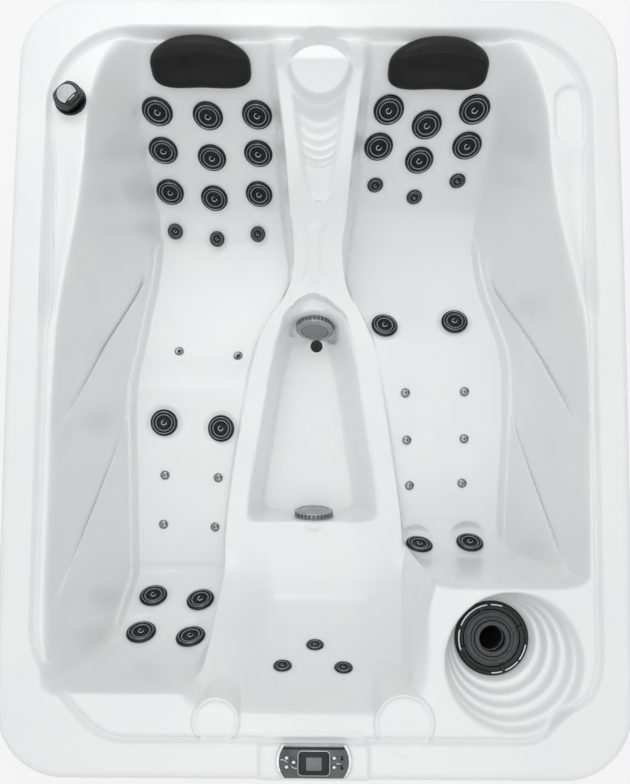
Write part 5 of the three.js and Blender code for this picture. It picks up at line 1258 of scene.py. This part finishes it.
over = cabinetLook["doorTop"] + cabinetLook["doorGap"]
wall, top = cabinetLook["wall"], cabinetLook["high"]
lintel = np.array([(-wall, top), (-wall, over), (0, over), (0, top)])
walls = [wallPart(*skirtPath(), plankSection(top)), straightWall(cabinetLook["door"], lintel)]
skirt = makeMesh("cabinet_planks", walls, plankPlastic, "tub", ["cabinet_skirt"])
doorWall = straightWall(cabinetLook["door"] - cabinetLook["doorGap"], plankSection(cabinetLook["doorTop"]))
door = makeMesh("access_panel_planks", [doorWall], plankPlastic, "access_panel", ["access_panel"])
for piece in (skirt, door):
    piece.data.set_sharp_from_angle(angle=math.radians(cabinetLook["sharp"]))
print("cabinet made")

# machinery and stand keep their solid shapes

finishOf = {"skimmer_bucket": whitePvc, "base_tray": trayAbs, "frame": pine,
            "circulation_pump": paintedMetal, "heater_tube": steelSheet, "control_box": boxAbs,
            "air_blower": paintedMetal, "left_water_line": whitePvc, "right_water_line": whitePvc}
for name, material in finishOf.items():
    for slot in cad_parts[name].material_slots:
        slot.material = material

# floor, light and camera


def pale(name, shade, share):
    # plain white where the camera, gloss or glass looks at it, and it still takes part of the shadow
    material = bpy.data.materials.new(name)
    material.use_nodes = True
    tree = material.node_tree
    tree.nodes.clear()
    ray = addNode(tree, "LightPath", {})
    seen = addNode(tree, "Math", {"operation": "MAXIMUM"}, (ray.outputs["Is Camera Ray"], 0),
                   (ray.outputs["Is Glossy Ray"], 1))
    seen = addNode(tree, "Math", {"operation": "MAXIMUM"}, (seen.outputs[0], 0),
                   (ray.outputs["Is Transmission Ray"], 1))
    part = addNode(tree, "Math", {"operation": "MULTIPLY"}, (seen.outputs[0], 0))
    part.inputs[1].default_value = share
    matt = addNode(tree, "BsdfDiffuse", {"Color": hexColour(shade)})
    glow = addNode(tree, "Emission", {"Color": (1, 1, 1, 1), "Strength": 1.0})
    mix = addNode(tree, "MixShader", {}, (part.outputs[0], 0), (matt.outputs[0], 1), (glow.outputs[0], 2))
    addNode(tree, "OutputMaterial", {}, (mix.outputs[0], "Surface"))
    return material


floorLook = {"half": 14, "shade": "f2f2f2", "glow": 0.7}
floorMesh = bpy.data.meshes.new("studio_floor")
h = floorLook["half"]
floorMesh.from_pydata([(-h, -h, 0), (h, -h, 0), (h, h, 0), (-h, h, 0)], [], [(0, 1, 2, 3)])
floorMesh.materials.append(pale("studio_floor", floorLook["shade"], floorLook["glow"]))
floor = bpy.data.objects.new("studio_floor", floorMesh)
bpy.context.scene.collection.objects.link(floor)

# the sky rises from horizon to zenith for light on matt surfaces, and is plain white where it is seen
skyLook = {"horizon": 0.34, "zenith": 0.94}
world = bpy.data.worlds.new("studio")
world.use_nodes = True
tree = world.node_tree
tree.nodes.clear()
ray = addNode(tree, "LightPath", {})
seen = addNode(tree, "Math", {"operation": "MAXIMUM"}, (ray.outputs["Is Camera Ray"], 0),
               (ray.outputs["Is Glossy Ray"], 1))
direction = addNode(tree, "TexCoord", {})
axes = addNode(tree, "SeparateXYZ", {}, (direction.outputs["Generated"], 0))
height = addNode(tree, "MapRange", {"From Min": 0.0, "From Max": 1.0, "To Min": skyLook["horizon"],
                                  "To Max": skyLook["zenith"]}, (axes.outputs["Z"], "Value"))
strength = addNode(tree, "Math", {"operation": "MAXIMUM"}, (seen.outputs[0], 0), (height.outputs[0], 1))
sky = addNode(tree, "Background", {"Color": (1, 1, 1, 1)}, (strength.outputs[0], "Strength"))
addNode(tree, "OutputWorld", {}, (sky.outputs[0], "Surface"))
bpy.context.scene.world = world

lampLook = [((-0.5, 1.9, 2.9), 1.6, 15), ((0, -1.2, 3.2), 2.4, 8)]   # place, width in metres, watts
for place, size, power in lampLook:
    light = bpy.data.lights.new("softbox", "AREA")
    light.size, light.energy = size, power
    lamp = bpy.data.objects.new("softbox", light)
    lamp.location = place
    lamp.rotation_euler = (Vector((0, 0, 0.3)) - Vector(place)).to_track_quat("-Z", "Y").to_euler()
    bpy.context.scene.collection.objects.link(lamp)

# focal length, centre of the view and the point where upright lines meet, in pixels of the image
viewLook = {"image": (630, 784), "focal": 600, "centre": (316, 465), "uprights": 10290,
            "place": (0, -0.34, 2.398), "roll": math.radians(0.41), "sensor": 36, "clip": (0.05, 60)}
wide, tall = viewLook["image"]
lens = bpy.data.cameras.new("camera")
lens.sensor_fit, lens.sensor_width = "HORIZONTAL", viewLook["sensor"]
lens.lens = viewLook["focal"] / wide * viewLook["sensor"]
lens.shift_x = -(viewLook["centre"][0] - wide / 2) / wide
lens.shift_y = (viewLook["centre"][1] - tall / 2) / wide
lens.clip_start, lens.clip_end = viewLook["clip"]
tilt = math.atan(viewLook["focal"] / viewLook["uprights"])
camera = bpy.data.objects.new("camera", lens)
forward = Vector((0, math.sin(tilt), -math.cos(tilt)))
level, upright = Vector((1, 0, 0)), Vector((0, math.cos(tilt), math.sin(tilt)))
across = level * math.cos(viewLook["roll"]) + upright * math.sin(viewLook["roll"])
above = upright * math.cos(viewLook["roll"]) - level * math.sin(viewLook["roll"])
turn = Matrix((across, above, -forward)).transposed().to_4x4()
turn.translation = Vector(viewLook["place"])
camera.matrix_world = turn
bpy.context.scene.collection.objects.link(camera)
bpy.context.scene.camera = camera
bpy.context.scene.view_settings.view_transform = "Standard"
print("stage, light and camera made")
